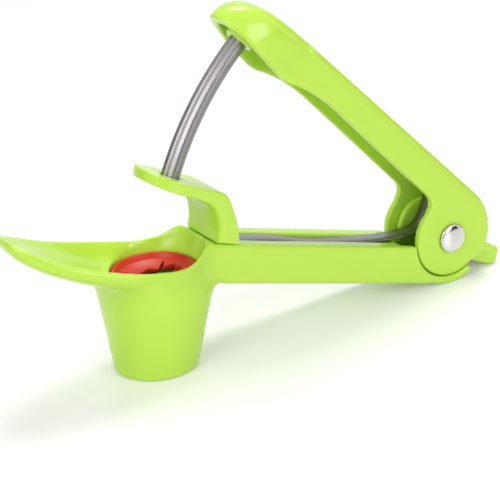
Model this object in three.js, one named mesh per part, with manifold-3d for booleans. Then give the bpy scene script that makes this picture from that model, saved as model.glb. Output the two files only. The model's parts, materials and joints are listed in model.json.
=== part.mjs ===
// Cherry pitter: two hinged handles, a curved plunger rod, a feeding tray and a splash cup.
// Millimetres, +Z up, +X towards the hinge, -Y the near side. It stands on its cup and its tail.
import * as THREE from 'three';
import { mergeVertices } from 'three/addons/utils/BufferGeometryUtils.js';
import Module from 'manifold-3d';

const wasm = await Module();
wasm.setup();
const degrees = THREE.MathUtils.degToRad;

// Driving dimensions
const fit = 0.3;                  // gap between pieces that touch
const runFit = 0.4;               // gap between pieces that move past each other
const overrun = 1;                // how far a cut runs past what it cuts
const weld = 0.2;                 // how far joined shapes run into each other
const sameSpot = 1e-4;            // points nearer than this are one
const barSlope = degrees(16.1);   // the bar falls towards its tail
const openAngle = degrees(31.75); // handle above the bar, as it stands open
const handleWidth = 19.2;         // both handles, across
const rodArc = 99.6;              // from the hinge axis to the rod's middle line
const cheekRadius = 12.45;        // round end of each cheek

// Hinge
const pinRadius = 2.6;
const pinHeadRadius = 4.6;
const pinRim = 0.5;
const pinDome = 1.2;
const capStub = 1.4;
const capStubLength = 5;
const cheekWall = 2.5;            // cheeks and side walls of the upper handle
const earWall = 2;                // hinge ears of the lower handle
const earGap = 0.8;               // from the ears' edge to the lock's rib
// The arm under each ear: its front, a point under the disc, and the one behind its stop
const armShares = { front: 1.4, above: 0.8, along: 0.6, under: 1.12 };
const railShares = { front: 0.5, top: 0.6 };
const lipThick = 2.35;
const lipAngle = degrees(-47);    // where the tail lip ends

// Lower handle, in the bar's frame: hinge axis at the origin, bar along -X
const barTop = -3.4;              // the bar's top face, from the hinge axis
const barEdge = 0.7;              // rounding of the bar's edges
const channelShare = 5 / 12;      // width of the bar's channel, of the bar's
const channelDepth = 4.4;
const pocketLength = 16.6;        // the pocket ahead of the ears starts this far from the hinge
const pocketFloor = 2.4;
const pocketEndShare = 0.4;       // of the recess: where the pocket ends and the tail's slot starts

// Rubber ring
const ringRadius = 12.5;
const ringDepth = 4.6;
const ringWall = 1.3;
const ringSink = 9.9;             // the middle of its top, below the bar's top
const ringLead = 0.39;            // and ahead of the rod's path
const ringEdge = 0.5;
const slitWidth = 0.7;
const slitStop = 2.4;             // from a slit's end to the ring's outside
const mouthLength = 15.8;         // the opening between the flaps, along the tool
const mouthWidth = 9.8;
const lipHeight = 1;              // the flaps' edges stand up round the opening
const lipWidth = 0.9;
const slitTurns = [45, 135, 225, 315];
// The funnel's section: radius as a share of the ring's, height as a share of its depth
const funnelShares = [
  [0.89, 0.89], [0.832, 0.66], [0.64, 0.45], [0.4, 0.3], [0.3, 0.26]
];
const underShares = [[0.3, 0.04], [0.4, 0.06], [0.64, 0.19], [0.832, 0.36]];

// Tray
const trayLength = 48.9;          // from the middle of the ring to the tip
const trayStep = 3.1;             // from the ring's outside to the tray's, where it is widest
const rimWidth = 1.9;
const rimBevel = 0.9;
const rimDrop = 7.1;              // the rim's lowest point, below the bar's top
const bevelRunShare = 1 / 6;      // of the tray: the bevel runs out over this length
const trayRoundShares = { across: 0.62, down: 0.72 };
const bowlRoundShares = { across: 0.75, down: 0.9, slope: 0.86 };
// From the ring to the tip: half width, drop of the rim, and depth as shares of the bar's height
const frontShares = [
  { along: 1, half: 0.077, drop: 0.254, deep: 0.153 },
  { along: 0.9857, half: 0.231, drop: 0.282, deep: 0.237 },
  { along: 0.955, half: 0.365, drop: 0.352, deep: 0.322 },
  { along: 0.9018, half: 0.506, drop: 0.479, deep: 0.381 },
  { along: 0.8057, half: 0.679, drop: 0.648, deep: 0.432 },
  { along: 0.683, half: 0.801, drop: 0.817, deep: 0.466 },
  { along: 0.5501, half: 0.885, drop: 0.93, deep: 0.5 },
  { along: 0.407, half: 0.955, drop: 0.986, deep: 0.542 },
  { along: 0.2638, half: 1, drop: 1, deep: 0.568 },
  { along: 0.1207, half: 0.987, drop: 0.958, deep: 0.593 },
  { along: 0.0082, half: 0.936, drop: 0.901, deep: 0.602 }
];
// From the ring back to the bracket: half width as a share of what the tray adds to the bar
const rearShares = [
  { along: 0.252, half: 0.633, drop: 0.746, deep: 0.653 },
  { along: 0.497, half: 0.35, drop: 0.479, deep: 0.771 },
  { along: 0.678, half: 0.133, drop: 0.155, deep: 0.924 },
  { along: 0.818, half: 0.017, drop: -0.07, deep: 1.042 },
  { along: 0.902, half: 0, drop: -0.056, deep: 1.034 },
  { along: 0.965, half: 0, drop: 0, deep: 1 },
  { along: 1.126, half: 0, drop: 0, deep: 1 }
];

// Cup, in the level frame: same origin, +Z straight up
const footRadius = 12.4;
const footEdge = 1.1;
const footShares = [0, 0.3, 1];   // heights of the foot's rounded edge, of its radius
const cupLean = 1.9;              // the foot's middle is this far ahead of the ring's
const cupWall = 2;
const cupFlareShare = 0.197;      // growth of the radius for each unit of height
const ledgeHeight = 1.6;
const ledgeWidth = 1.6;
const ledgeSlope = 3;             // height over which the cup's inside draws in to the ledge
const dishHeight = 6;             // the bowl's rear wall slopes back over this height
const dishReach = 2;
const dishFlare = 0.8;
const drawHeight = 14;            // the cup's top draws in to the tray's outline over this height
const drawShares = [0, 0.12, 0.4, 0.72, 0.94, 1];
const collarRadius = 3.2;         // hollow round where the cup's rear side meets the bar

// Plunger rod: an arc about the hinge
const rodRadius = 2.95;
const fluteShare = 0.14;          // depth of the flutes, of the radius
const rodLow = degrees(7);        // its tip above the bar's direction
const rodSocket = 8;              // how far it sits in the head's boss
const bossRadius = 4.5;
const bossLow = 1.5;              // the boss's end above the handle's line
const crossPinRadius = 1;
const guideSweep = degrees(4.6);  // the plate's hole is cut this far to each side of its middle

// Upper handle, in its own frame: along -X from the hinge, +Z towards its back
const skin = 2.3;                 // its top skin
const backHeight = 16.2;
const taperShare = 0.027;         // fall of the back for each unit of length
const backRound = 3.2;
const cheekRound = 0.9;
const edgeRound = 0.35;
const wallEdge = 4.5;             // lower edge of the side walls above the handle's line
const headEdge = 0.6;             // and where they meet the head
const wallFall = 22;              // the edge falls to the head over this length
const wallFallPower = 2.2;
const headBehind = 15.6;          // the head starts this far behind the rod
const headAhead = 11.5;           // and ends this far ahead of it
const headHeight = 13.9;
const headWall = 1.8;             // at its nose
const rearEnd = degrees(15);      // where the rear cover stops
const cheekEnd = degrees(-7);     // where the cheek's arc runs into the cover's edge
// Along the head, half width of the handle's, top and lower edge of the head's height, squareness
const headShares = [
  { along: -0.221, half: 0.995, top: 1, edge: 0.216, power: 0.27 },
  { along: 0, half: 1, top: 1, edge: 0.043, power: 0.28 },
  { along: 0.185, half: 1.031, top: 0.996, edge: 0.036, power: 0.33 },
  { along: 0.369, half: 1.052, top: 0.989, edge: 0.065, power: 0.41 },
  { along: 0.535, half: 1.031, top: 0.964, edge: 0.094, power: 0.5 },
  { along: 0.675, half: 0.927, top: 0.906, edge: 0.122, power: 0.58 },
  { along: 0.79, half: 0.781, top: 0.813, edge: 0.137, power: 0.66 },
  { along: 0.878, half: 0.604, top: 0.683, edge: 0.144, power: 0.72 },
  { along: 0.941, half: 0.427, top: 0.532, edge: 0.144, power: 0.78 },
  { along: 0.982, half: 0.25, top: 0.374, edge: 0.137, power: 0.82 },
  { along: 1, half: 0.115, top: 0.259, edge: 0.129, power: 0.86 }
];
// The notch ahead of each cheek, of the cheek's radius
const notchShares = [[1.317, 0.008], [1.157, 0.064], [1.06, 0.185]];
// The cover's edge and its rounding, of the back's height and rounding
const coverEdgeShares = [[0.867, 0.074, 0.65], [0.944, 0.179, 0.65]];

// Guide bracket
const bracketSetback = 1.8;       // from the ring's outside to the bracket's inner face
const bracketFoot = 7.4;
const bracketHeight = 20.1;
const bracketEdge = 0.4;
const bracketRound = 1.5;
const plateLead = 0.94;           // its round end is centred this far ahead of the rod
// Its outline: along its reach from the inner face, up its height, and which edges are well rounded
const bracketShares = [
  [-0.301, 0, 0], [0, 0, 1], [0.008, 0.169, 1], [0.045, 0.338, 1], [0.098, 0.458, 1], [0.187, 0.557, 0.8],
  [0.333, 0.627, 0.4], [0.577, 0.692, 0], [0.805, 0.751, 0], [1.073, 0.841, 0], [1.093, 1, 0],
  [0.797, 0.91, 0], [0.553, 0.856, 0], [0.293, 0.801, 0], [0.057, 0.756, 0], [-0.012, 0.721, 0],
  [-0.069, 0.642, 0], [-0.163, 0.448, 0], [-0.248, 0.229, 0]
];
const pegRadius = 1.3;
const pegDepth = 2.6;
const pegInset = 3.4;

// Bracket screw
const screwRadius = 1.4;
const screwHead = 2.6;
const screwHeadHeight = 1.8;
const screwSink = 2.6;
const screwReach = 6;             // above the bar's top
const screwEdge = 0.5;
const driveShares = { long: 0.62, thin: 0.14, deep: 0.6 };

// Leaf spring
const springThick = 0.8;
const springSide = 0.9;           // clear of the channel's walls
const springSink = 1.2;           // its seat, below the bar's top
const springBack = 1.2;           // its front end, behind the bracket's inner face
const springLean = 11.9;          // its upper end, along the upper handle
const springGap = 0.74;           // and under the handle's skin
const keeperGap = 1.9;            // from the upper end to each rib that keeps it
const keeperWall = 1;
const keeperDepth = 1.9;
// Along the bar and up to the spring's end: the flat run, then the bend round the pin
const runShares = [[0.742, 0.014], [0.55, -0.019], [0.359, 0.009], [0.227, 0.056], [0.132, 0.136]];
const bendShares = [[1.94, 0.234], [1.44, 0.374], [1.21, 0.561]];

// Lock tab
const tongueGap = 0.5;            // from its side to the ear
const tongueThick = 2.3;
const tongueRise = 5.15;          // its top, above the cheek's lowest point
const tongueNose = 2;             // its nose, ahead of the hinge axis
const railHeight = 1;
const railReach = 0.9;
const tabInset = 3;               // from the handle's side to the tab's
const tabGap = 0.35;              // from the cheek to the tab's root
const tabLength = 10.4;
const tabHeight = 6;
const ribInset = 0.25;            // the lock's rib, inside the cheek's edge
const ribThick = 2.1;
const ribFrom = degrees(-98);     // the rib's ends, in the upper handle's frame
const ribTo = degrees(-87.7);
// The tab's outline: along its length, up its height, and edge rounding of its height
const tabShares = [
  [0, 0.233, 0.067], [0.77, 0.042, 0.083], [0.913, 0.1, 0.1], [1, 0.333, 0.133], [1, 0.767, 0.15],
  [0.952, 0.95, 0.15], [0.856, 1, 0.15], [0.596, 0.817, 0.1], [0, 0.6, 0.083]
];

const green = { color: 0xb5e64a, roughness: 0.22, metalness: 0 };
const steel = { color: 0xb9b7b4, roughness: 0.32, metalness: 1 };
const polished = { color: 0xd2d0cd, roughness: 0.12, metalness: 1 };
const red = { color: 0xc23a26, roughness: 0.42, metalness: 0 };

// Places that follow from the sizes above
const halfWidth = handleWidth / 2;
const recess = cheekRadius + runFit;
const barBottom = -recess - lipThick;
const barHeight = barTop - barBottom;
const earInner = halfWidth - cheekWall - runFit - earWall;
const earOuter = earInner + earWall;
const floorZ = barBottom;         // the surface it stands on, below the hinge axis in the level frame
const ringLow = barTop - ringSink;
const ringAlong = Math.sqrt(rodArc * rodArc - ringLow * ringLow) + ringLead;
const ringSpot = toLevel(-ringAlong, ringLow);
const ringHeight = ringSpot.y - floorZ;
const seatHeight = ringHeight - ringDepth;
const boreRadius = ringRadius + fit;
const ledgeRadius = ringRadius - ledgeWidth;
const trayHalfWidth = ringRadius + trayStep;
const trayTip = ringAlong + trayLength;
const bracketInner = ringAlong - ringRadius - bracketSetback;
const bracketRear = bracketInner - bracketFoot;
const plateCentre = rodArc * Math.cos(rodLow) + plateLead;
const plateReach = plateCentre + halfWidth - bracketInner;
const screwX = -(bracketRear + bracketInner) / 2;
const pegOffset = halfWidth - pegInset;
const channelHalf = halfWidth * channelShare;
const springHalf = channelHalf - springSide;
const springFront = bracketInner - springBack;
const springSeat = barTop - springSink;
const headStart = rodArc - headBehind;
const headLength = headBehind + headAhead;
const socketAngle = (bossLow + rodSocket) / rodArc;
const crossPinZ = bossLow + rodSocket / 2;
const ribOuter = cheekRadius - ribInset;
const ribInner = ribOuter - ribThick;
const earRadius = ribInner - earGap;
const tongueHalf = earInner - tongueGap;
const tongueTop = tongueRise - cheekRadius;
const tongueLow = tongueTop - tongueThick;
const tabShoulder = cheekRadius + tabGap;
const tabHalf = halfWidth - tabInset;

// From the level frame into the bar's, and back
function toBar(x, z) {
  return new THREE.Vector2(x, z).rotateAround(new THREE.Vector2(), barSlope);
}

function toLevel(x, z) {
  return new THREE.Vector2(x, z).rotateAround(new THREE.Vector2(), -barSlope);
}

function levelled(solid) {
  return solid.rotate([0, -THREE.MathUtils.radToDeg(barSlope), 0]);
}

// Solids
function solidFrom(geometry, flip = false) {
  const bare = geometry.index ? geometry.toNonIndexed() : geometry.clone();
  for (const name of Object.keys(bare.attributes)) {
    if (name !== 'position') bare.deleteAttribute(name);
  }
  const merged = mergeVertices(bare, sameSpot);
  const triVerts = [];
  for (let i = 0; i < merged.index.count; i += 3) {
    const corners = [0, 1, 2].map((k) => merged.index.getX(i + k));
    if (new Set(corners).size === corners.length) triVerts.push(...(flip ? corners.reverse() : corners));
  }
  const vertProperties = new Float32Array(merged.attributes.position.array);
  const mesh = new wasm.Mesh({ numProp: 3, vertProperties, triVerts: new Uint32Array(triVerts) });
  return new wasm.Manifold(mesh);
}

function facingOut(geometry) {
  const solid = solidFrom(geometry);
  return solid.volume() > 0 ? solid : solidFrom(geometry, true);
}

function geometryFrom(solid) {
  const mesh = solid.getMesh();
  const geometry = new THREE.BufferGeometry();
  geometry.setAttribute('position', new THREE.BufferAttribute(new Float32Array(mesh.vertProperties), 3));
  geometry.setIndex(new THREE.BufferAttribute(new Uint32Array(mesh.triVerts), 1));
  geometry.computeVertexNormals();
  return geometry;
}

function joined(...solids) {
  return solids.reduce((whole, next) => whole.add(next));
}

function cutBy(solid, ...tools) {
  return tools.reduce((rest, tool) => rest.subtract(tool), solid);
}

// Closed skin through rings of points, each ring with the same count, with flat ends
function loft(rings) {
  const count = rings[0].length;
  const index = [];
  for (let r = 0; r < rings.length - 1; r++) {
    for (let i = 0; i < count; i++) {
      const a = r * count + i;
      const b = r * count + (i + 1) % count;
      index.push(a, b, a + count, b, b + count, a + count);
    }
  }
  const cap = (ring, start, flip) => {
    for (const [a, b, c] of THREE.ShapeUtils.triangulateShape(flatten(ring), [])) {
      index.push(start + a, start + (flip ? c : b), start + (flip ? b : c));
    }
  };
  cap(rings[0], 0, true);
  cap(rings[rings.length - 1], (rings.length - 1) * count, false);
  const geometry = new THREE.BufferGeometry().setFromPoints(rings.flat());
  geometry.setIndex(index);
  return facingOut(geometry);
}

// Ring of points laid flat in its own plane, counter-clockwise, for its end face
function flatten(ring) {
  const normal = new THREE.Vector3();
  ring.forEach((p, i) => {
    const q = ring[(i + 1) % ring.length];
    normal.x += (p.y - q.y) * (p.z + q.z);
    normal.y += (p.z - q.z) * (p.x + q.x);
    normal.z += (p.x - q.x) * (p.y + q.y);
  });
  normal.normalize();
  const across = new THREE.Vector3(normal.y, normal.z, normal.x).cross(normal).normalize();
  const up = normal.clone().cross(across);
  return ring.map((p) => new THREE.Vector2(p.dot(across), p.dot(up)));
}

// Straight-sided solid: an outline in X and Z, from one Y to another
function prism(outline, y0, y1) {
  return loft([y0, y1].map((y) => outline.map((p) => new THREE.Vector3(p.x, y, p.y))));
}

// The same with rounded long edges; each outline point says how far it draws in at the sides
function roundedSlab(points, half, steps = 3) {
  const outline = THREE.ShapeUtils.area(points) < 0 ? [...points].reverse() : points;
  const normals = outline.map((p, i) => {
    const before = outline[(i + outline.length - 1) % outline.length];
    const after = outline[(i + 1) % outline.length];
    const along = new THREE.Vector2(after.x - before.x, after.y - before.y).normalize();
    return new THREE.Vector2(-along.y, along.x);
  });
  const ring = (side, turn) => outline.map((p, i) => {
    const draw = p.round * (1 - Math.cos(turn));
    const y = half - p.round * (1 - Math.sin(turn));
    return new THREE.Vector3(p.x + normals[i].x * draw, side * y, p.y + normals[i].y * draw);
  });
  const turns = Array.from({ length: steps + 1 }, (_, k) => (Math.PI / 2) * k / steps);
  const near = turns.map((turn) => ring(-1, turn)).reverse();
  const far = turns.map((turn) => ring(1, turn));
  return loft([...near, ...far]);
}

function arc(radius, from, to, steps, centre = { x: 0, y: 0 }) {
  return Array.from({ length: steps + 1 }, (_, i) => {
    const a = from + (to - from) * i / steps;
    return new THREE.Vector2(centre.x + radius * Math.cos(a), centre.y + radius * Math.sin(a));
  });
}

function circle(radius, steps, centre) {
  return arc(radius, 0, 2 * Math.PI, steps, centre).slice(0, -1);
}

function at(x, y, round = 0) {
  const point = new THREE.Vector2(x, y);
  point.round = round;
  return point;
}

function rounded(points, round) {
  return points.map((p) => at(p.x, p.y, round));
}

function block(x0, x1, z0, z1, half) {
  return prism([at(x0, z0), at(x1, z0), at(x1, z1), at(x0, z1)], -half, half);
}

// Solid of revolution about Z, from radius and height pairs
function turned(profile, segments) {
  const lathe = new THREE.LatheGeometry(profile.map(([r, z]) => new THREE.Vector2(r, z)), segments);
  return facingOut(lathe.rotateX(Math.PI / 2));
}

// Round bar along Z, and along Y
function upright(radius, z0, z1, segments = 24) {
  return turned([[0, z0], [radius, z0], [radius, z1], [0, z1]], segments);
}

function rodAcross(radius, y0, y1, centre, segments = 32) {
  return prism(circle(radius, segments, centre), y0, y1);
}

// Tray and bowl
function trayStations() {
  const front = frontShares.map(({ along, half, drop, deep }) =>
    ({ u: ringAlong + along * trayLength, half: half * trayHalfWidth, drop, deep }));
  const rear = rearShares.map(({ along, half, drop, deep }) => ({
    u: ringAlong + (bracketInner - ringAlong) * along,
    half: halfWidth + half * (trayHalfWidth - halfWidth),
    drop,
    deep
  }));
  return [...front, ...rear].map(({ u, half, drop, deep }) => {
    const rim = barTop - drop * rimDrop;
    return { u, half, rim, under: rim - deep * barHeight };
  });
}

const stations = trayStations();

function stationAt(u) {
  const i = stations.findIndex((s) => s.u <= u);
  if (i < 1) return stations[i < 0 ? stations.length - 1 : 0];
  const [far, near] = [stations[i - 1], stations[i]];
  const mix = (key) => THREE.MathUtils.mapLinear(u, near.u, far.u, near[key], far[key]);
  return { u, half: mix('half'), rim: mix('rim'), under: mix('under') };
}

// The tray's bevel stands outside its rim, and runs out into the bar's sides
function bevelAt(u) {
  const run = (trayTip - bracketInner) * bevelRunShare;
  return rimBevel * THREE.MathUtils.clamp((u - bracketInner) / run, 0, 1);
}

function bulge(turn, power) {
  return Math.sign(Math.cos(turn)) * Math.pow(Math.abs(Math.cos(turn)), power);
}

function trayRing({ u, half, rim, under }) {
  const sideTop = rim - rimBevel;
  const wide = Math.max(half, 2 * rimBevel) + bevelAt(u);
  const ring = [new THREE.Vector3(-u, wide - rimBevel, rim), new THREE.Vector3(-u, wide, sideTop)];
  const steps = 12;
  for (let i = 1; i < steps; i++) {
    const turn = Math.PI * i / steps;
    const down = Math.pow(Math.sin(turn), trayRoundShares.down);
    const across = wide * bulge(turn, trayRoundShares.across);
    ring.push(new THREE.Vector3(-u, across, sideTop - (sideTop - under) * down));
  }
  ring.push(new THREE.Vector3(-u, -wide, sideTop), new THREE.Vector3(-u, rimBevel - wide, rim));
  return ring;
}

// Height of the bowl's floor along the middle: from the tip down to the rubber ring, then level with it
function bowlFloor(u) {
  const front = toBar(ringSpot.x - boreRadius, ringSpot.y);
  if (u < -front.x) return front.y + (-front.x - u) * Math.tan(barSlope);
  const start = trayTip - rimWidth;
  const share = THREE.MathUtils.clamp((start - u) / (start + front.x), 0, 1);
  const tipFloor = stations[0].rim - rimBevel;
  return tipFloor + (front.y - tipFloor) * Math.pow(share, bowlRoundShares.slope);
}

function bowlCut() {
  const steps = 10;
  const wideEnough = ({ u, half }) => half > rimWidth + rimBevel && u > ringAlong;
  return loft(stations.filter(wideEnough).map(({ u, half, rim }) => {
    const inner = half - rimWidth;
    const deep = Math.max(rim - bowlFloor(u), rimBevel);
    const ring = [new THREE.Vector3(-u, inner, barTop + barHeight), new THREE.Vector3(-u, inner, rim)];
    for (let i = 1; i < steps; i++) {
      const turn = Math.PI * i / steps;
      const down = Math.pow(Math.sin(turn), bowlRoundShares.down);
      ring.push(new THREE.Vector3(-u, inner * bulge(turn, bowlRoundShares.across), rim - deep * down));
    }
    ring.push(new THREE.Vector3(-u, -inner, rim), new THREE.Vector3(-u, -inner, barTop + barHeight));
    return ring;
  }));
}

// Cup: level rings about a middle line that follows the rod's path
function cupCentre(height) {
  return ringSpot.x - cupLean * (1 - Math.min(height / (seatHeight - ledgeHeight), 1));
}

function coneAt(height) {
  return footRadius + cupFlareShare * height;
}

// How far from the middle the cup may reach in a direction, to end inside the tray's wall
function trayReach(turn) {
  const step = fit / 2;
  let reach = ledgeRadius;
  const inside = () => {
    const u = -toBar(ringSpot.x + reach * Math.cos(turn), ringSpot.y).x;
    return Math.abs(reach * Math.sin(turn)) < stationAt(u).half;
  };
  while (reach < 2 * ledgeRadius && inside()) reach += step;
  return reach - step - fit;
}

function cupRings(rows, segments = 56) {
  return levelled(loft(rows.map(({ height, radius, shift = 0, held = 0 }) =>
    circle(1, segments).map((p) => {
      const over = held > 0 ? Math.max(radius - trayReach(p.angle()), 0) * held : 0;
      p.multiplyScalar(radius - over);
      return new THREE.Vector3(cupCentre(height) + shift + p.x, p.y, floorZ + height);
    }))));
}

function cupOutside() {
  const low = seatHeight + ringDepth + ledgeHeight + fit - drawHeight;
  const foot = footShares.map((share) => {
    const height = footEdge * share;
    return { height, radius: coneAt(height) - footEdge * (1 - Math.sqrt(share)) };
  });
  return cupRings([
    ...foot,
    ...drawShares.map((held, i) => {
      const height = low + drawHeight * i / (drawShares.length - 1);
      return { height, radius: coneAt(height), held };
    })
  ]);
}

function cupInside() {
  const seat = seatHeight - ledgeHeight;
  return cupRings([
    { height: -overrun, radius: footRadius - cupWall },
    { height: 0, radius: footRadius - cupWall },
    { height: seat - ledgeSlope, radius: Math.max(coneAt(seat - ledgeSlope) - cupWall, ledgeRadius) },
    { height: seat, radius: ledgeRadius },
    { height: seat + ledgeHeight, radius: ledgeRadius }
  ]);
}

function ringBore() {
  const dish = [0, 0.5, 1].map((share) => ({
    height: ringHeight + dishHeight * share,
    radius: boreRadius + dishFlare * Math.sqrt(share),
    shift: dishReach * share
  }));
  const mouth = { ...dish[2], height: ringHeight + 3 * dishHeight };
  return cupRings([{ height: seatHeight - weld, radius: boreRadius }, ...dish, mouth]);
}

// Hollow round between the cup's rear side and the bar's underside
function cupCollar() {
  const rearSpot = (height) => toBar(cupCentre(height) + coneAt(height), floorZ + height);
  let height = 0;
  while (rearSpot(height).y < barBottom) height += weld;
  const centre = toBar(cupCentre(height), floorZ + height).x;
  const foot = rearSpot(height).x - centre;
  const low = barBottom - collarRadius;
  const curve = arc(collarRadius, Math.PI, Math.PI / 2, 5, { x: foot + collarRadius, y: low });
  const top = [[foot + collarRadius, barBottom + weld], [0, barBottom + weld]];
  const round = turned([[0, low], ...curve.map((p) => [p.x, p.y]), ...top], 48).translate([centre, 0, 0]);
  return round.intersect(block(centre, 0, low - collarRadius, barTop, halfWidth));
}

// Lower handle
function barOutline() {
  const lipEnd = 2 * Math.PI + lipAngle;
  const lipMiddle = recess + lipThick / 2;
  const lipTip = arc(lipThick / 2, lipAngle + Math.PI, lipAngle, 4, {
    x: lipMiddle * Math.cos(lipAngle),
    y: lipMiddle * Math.sin(lipAngle)
  }).slice(1, -1);
  const front = -stations[stations.length - 1].u - overrun;
  return [
    at(front, barBottom, barEdge),
    at(front, barTop, barEdge),
    ...rounded(arc(recess, Math.PI + Math.asin(-barTop / recess), lipEnd, 16), 0),
    ...rounded(lipTip, 0),
    ...rounded(arc(-barBottom, lipEnd, 1.5 * Math.PI, 8), barEdge)
  ];
}

function ears() {
  const stop = ribFrom - openAngle - runFit / ribInner;
  const onStop = (radius) => at(radius * Math.cos(stop), radius * Math.sin(stop));
  const front = -pocketLength - overrun;
  const arm = [
    at(front, barTop - armShares.front * earWall),
    at(-armShares.along * earRadius, barTop - armShares.above * earWall),
    onStop(earRadius - weld), onStop(recess + lipThick / 2),
    at(-armShares.under * earRadius, barBottom + earWall), at(front, barBottom + earWall)
  ];
  const railLow = tongueTop + fit;
  const rail = [
    at(-railShares.front * earRadius, railLow), at(-railShares.front * earRadius, railLow + railHeight),
    at(railShares.top * earRadius, railLow + railHeight), at(railShares.front * earRadius, railLow)
  ];
  const between = (outline, a, b) => prism(outline, Math.min(a, b), Math.max(a, b));
  return joined(...[-1, 1].flatMap((side) => [
    between(circle(earRadius, 40), side * earInner, side * earOuter),
    between(arm, side * earInner, side * earOuter),
    between(rail, side * (earInner - railReach), side * (earInner + weld))
  ]));
}

function pegs(radius, low) {
  const peg = upright(radius, low, barTop + overrun, 16);
  return [-1, 1].map((side) => peg.translate([screwX, side * pegOffset, 0]));
}

function lowerHandle() {
  const clear = barTop + overrun;
  const seat = springSeat - fit;
  const bar = roundedSlab(barOutline(), halfWidth, 2);
  const tray = loft(stations.map(trayRing));
  const channel = block(-bracketRear, -pocketLength - overrun, barTop - channelDepth, clear, channelHalf);
  const springSlot = block(-springFront - fit, overrun - bracketRear, seat, clear, channelHalf);
  const underPin = pocketEndShare * recess;
  const pocket = block(-pocketLength, -underPin, barBottom + pocketFloor, clear, earOuter);
  const tailSlot = block(underPin, recess + handleWidth, tongueLow - fit, 0, tongueHalf + runFit);
  const headBore = upright(screwHead + fit, barBottom - fit, barBottom + screwSink);
  const shankBore = upright(screwRadius + fit, barBottom, clear);
  const screwHoles = [headBore, shankBore].map((bore) => bore.translate([screwX, 0, 0]));
  const body = joined(bar, tray, cupOutside(), cupCollar());
  const blank = cutBy(body, bowlCut(), ringBore(), cupInside());
  const slotted = cutBy(blank, channel, springSlot, pocket, tailSlot, ...screwHoles,
    ...pegs(pegRadius + fit, barTop - pegDepth - fit));
  return cutBy(joined(slotted, ears()), rodAcross(pinRadius + fit, -handleWidth, handleWidth));
}

// Leaf spring
function fromHandle(x, z) {
  return new THREE.Vector2(x, z).rotateAround(new THREE.Vector2(), -openAngle);
}

function springPath() {
  const seat = springSeat + springThick / 2;
  const end = fromHandle(-springLean, backAt(springLean) - skin - springGap);
  const rise = end.y - seat;
  const spots = [
    [-springFront, seat], [-bracketRear + 2 * overrun, seat],
    ...runShares.map(([along, up]) => [-springFront * along, seat + rise * up]),
    ...bendShares.map(([along, up]) => [end.x * along, seat + rise * up]),
    [end.x, end.y]
  ];
  return new THREE.CatmullRomCurve3(spots.map(([x, z]) => new THREE.Vector3(x, 0, z)), false, 'centripetal');
}

function leafSpring() {
  const path = springPath();
  const steps = 40;
  const rings = path.getPoints(steps).map((p, i) => {
    const along = path.getTangent(i / steps);
    const across = new THREE.Vector3(-along.z, 0, along.x).multiplyScalar(springThick / 2);
    return [[1, 1], [1, -1], [-1, -1], [-1, 1]].map(([up, side]) =>
      new THREE.Vector3(p.x + up * across.x, side * springHalf, p.z + up * across.z));
  });
  const hole = upright(screwRadius + fit, springSeat - overrun, springSeat + springThick + overrun);
  return cutBy(loft(rings), hole.translate([screwX, 0, 0]));
}

// Guide bracket
function bracketOutline() {
  return bracketShares.map(([along, up, much]) => at(
    -bracketInner - along * plateReach,
    barTop + fit + up * bracketHeight,
    bracketEdge + (bracketRound - bracketEdge) * much
  ));
}

function guideBracket() {
  const bent = roundedSlab(bracketOutline(), halfWidth, 2);
  const front = arc(halfWidth, Math.PI / 2, 1.5 * Math.PI, 20, { x: -plateCentre, y: 0 });
  const plan = [...front, at(0, -halfWidth - overrun), at(0, halfWidth + overrun)];
  const column = loft([barTop - overrun, barTop + 2 * bracketHeight].map((z) =>
    plan.map((p) => new THREE.Vector3(p.x, p.y, z))));
  const screwBore = upright(screwRadius + fit, barTop - overrun, barTop + screwReach + fit, 20);
  const guide = rodShape(rodLow - guideSweep, rodLow + guideSweep, runFit, 6);
  const body = joined(bent.intersect(column), ...pegs(pegRadius, barTop - pegDepth));
  return cutBy(body, screwBore.translate([screwX, 0, 0]), guide);
}

function bracketScrew() {
  const low = barBottom + screwSink - screwHeadHeight - fit;
  const neck = low + screwHeadHeight;
  const top = barTop + screwReach;
  const shank = turned([
    [0, low], [screwHead - screwEdge, low], [screwHead, low + screwEdge], [screwHead, neck],
    [screwRadius, neck], [screwRadius, top - screwRadius], [0, top]
  ], 24);
  const long = screwHead * driveShares.long;
  const thin = screwHead * driveShares.thin;
  const bar = (x, y) => loft([low - overrun, low + screwHeadHeight * driveShares.deep].map((z) =>
    [[-x, -y], [x, -y], [x, y], [-x, y]].map(([px, py]) => new THREE.Vector3(px, py, z))));
  return cutBy(shank, bar(long, thin), bar(thin, long)).translate([screwX, 0, 0]);
}

// Rubber ring: a funnel with an oval mouth, slit into four flaps whose edges stand up
function pitRing() {
  const shareOf = ([r, z]) => [r * ringRadius, z * ringDepth];
  const funnel = turned([
    [ringRadius - ringEdge, ringDepth], [ringRadius, ringDepth - ringEdge], [ringRadius, fit],
    [ledgeRadius - fit, fit], ...underShares.map(shareOf).reverse(), ...funnelShares.map(shareOf).reverse(),
    [ringRadius - ringWall, ringDepth - ringEdge], [ringRadius - ringWall + ringEdge, ringDepth],
    [ringRadius - ringEdge, ringDepth]
  ], 48);
  const mouth = ovalPrism(0, -ringDepth, ringDepth);
  const slits = slitTurns.map((turn) => slit(ringRadius - slitStop, turn));
  const flaps = cutBy(joined(funnel, mouthLip()), mouth, ...slits);
  const seated = flaps.translate([ringSpot.x, 0, floorZ + seatHeight]);
  return cutBy(levelled(seated), rodShape(-openAngle, rodLow, runFit, 24));
}

// Points of the mouth's oval, some way outside it
function oval(out, segments = 40) {
  const long = mouthLength / 2 + out;
  const wide = mouthWidth / 2 + out;
  return circle(1, segments).map((p) => ({ x: p.x * long, y: p.y * wide }));
}

function ovalPrism(out, z0, z1) {
  return loft([z0, z1].map((z) => oval(out).map((p) => new THREE.Vector3(p.x, p.y, z))));
}

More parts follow.
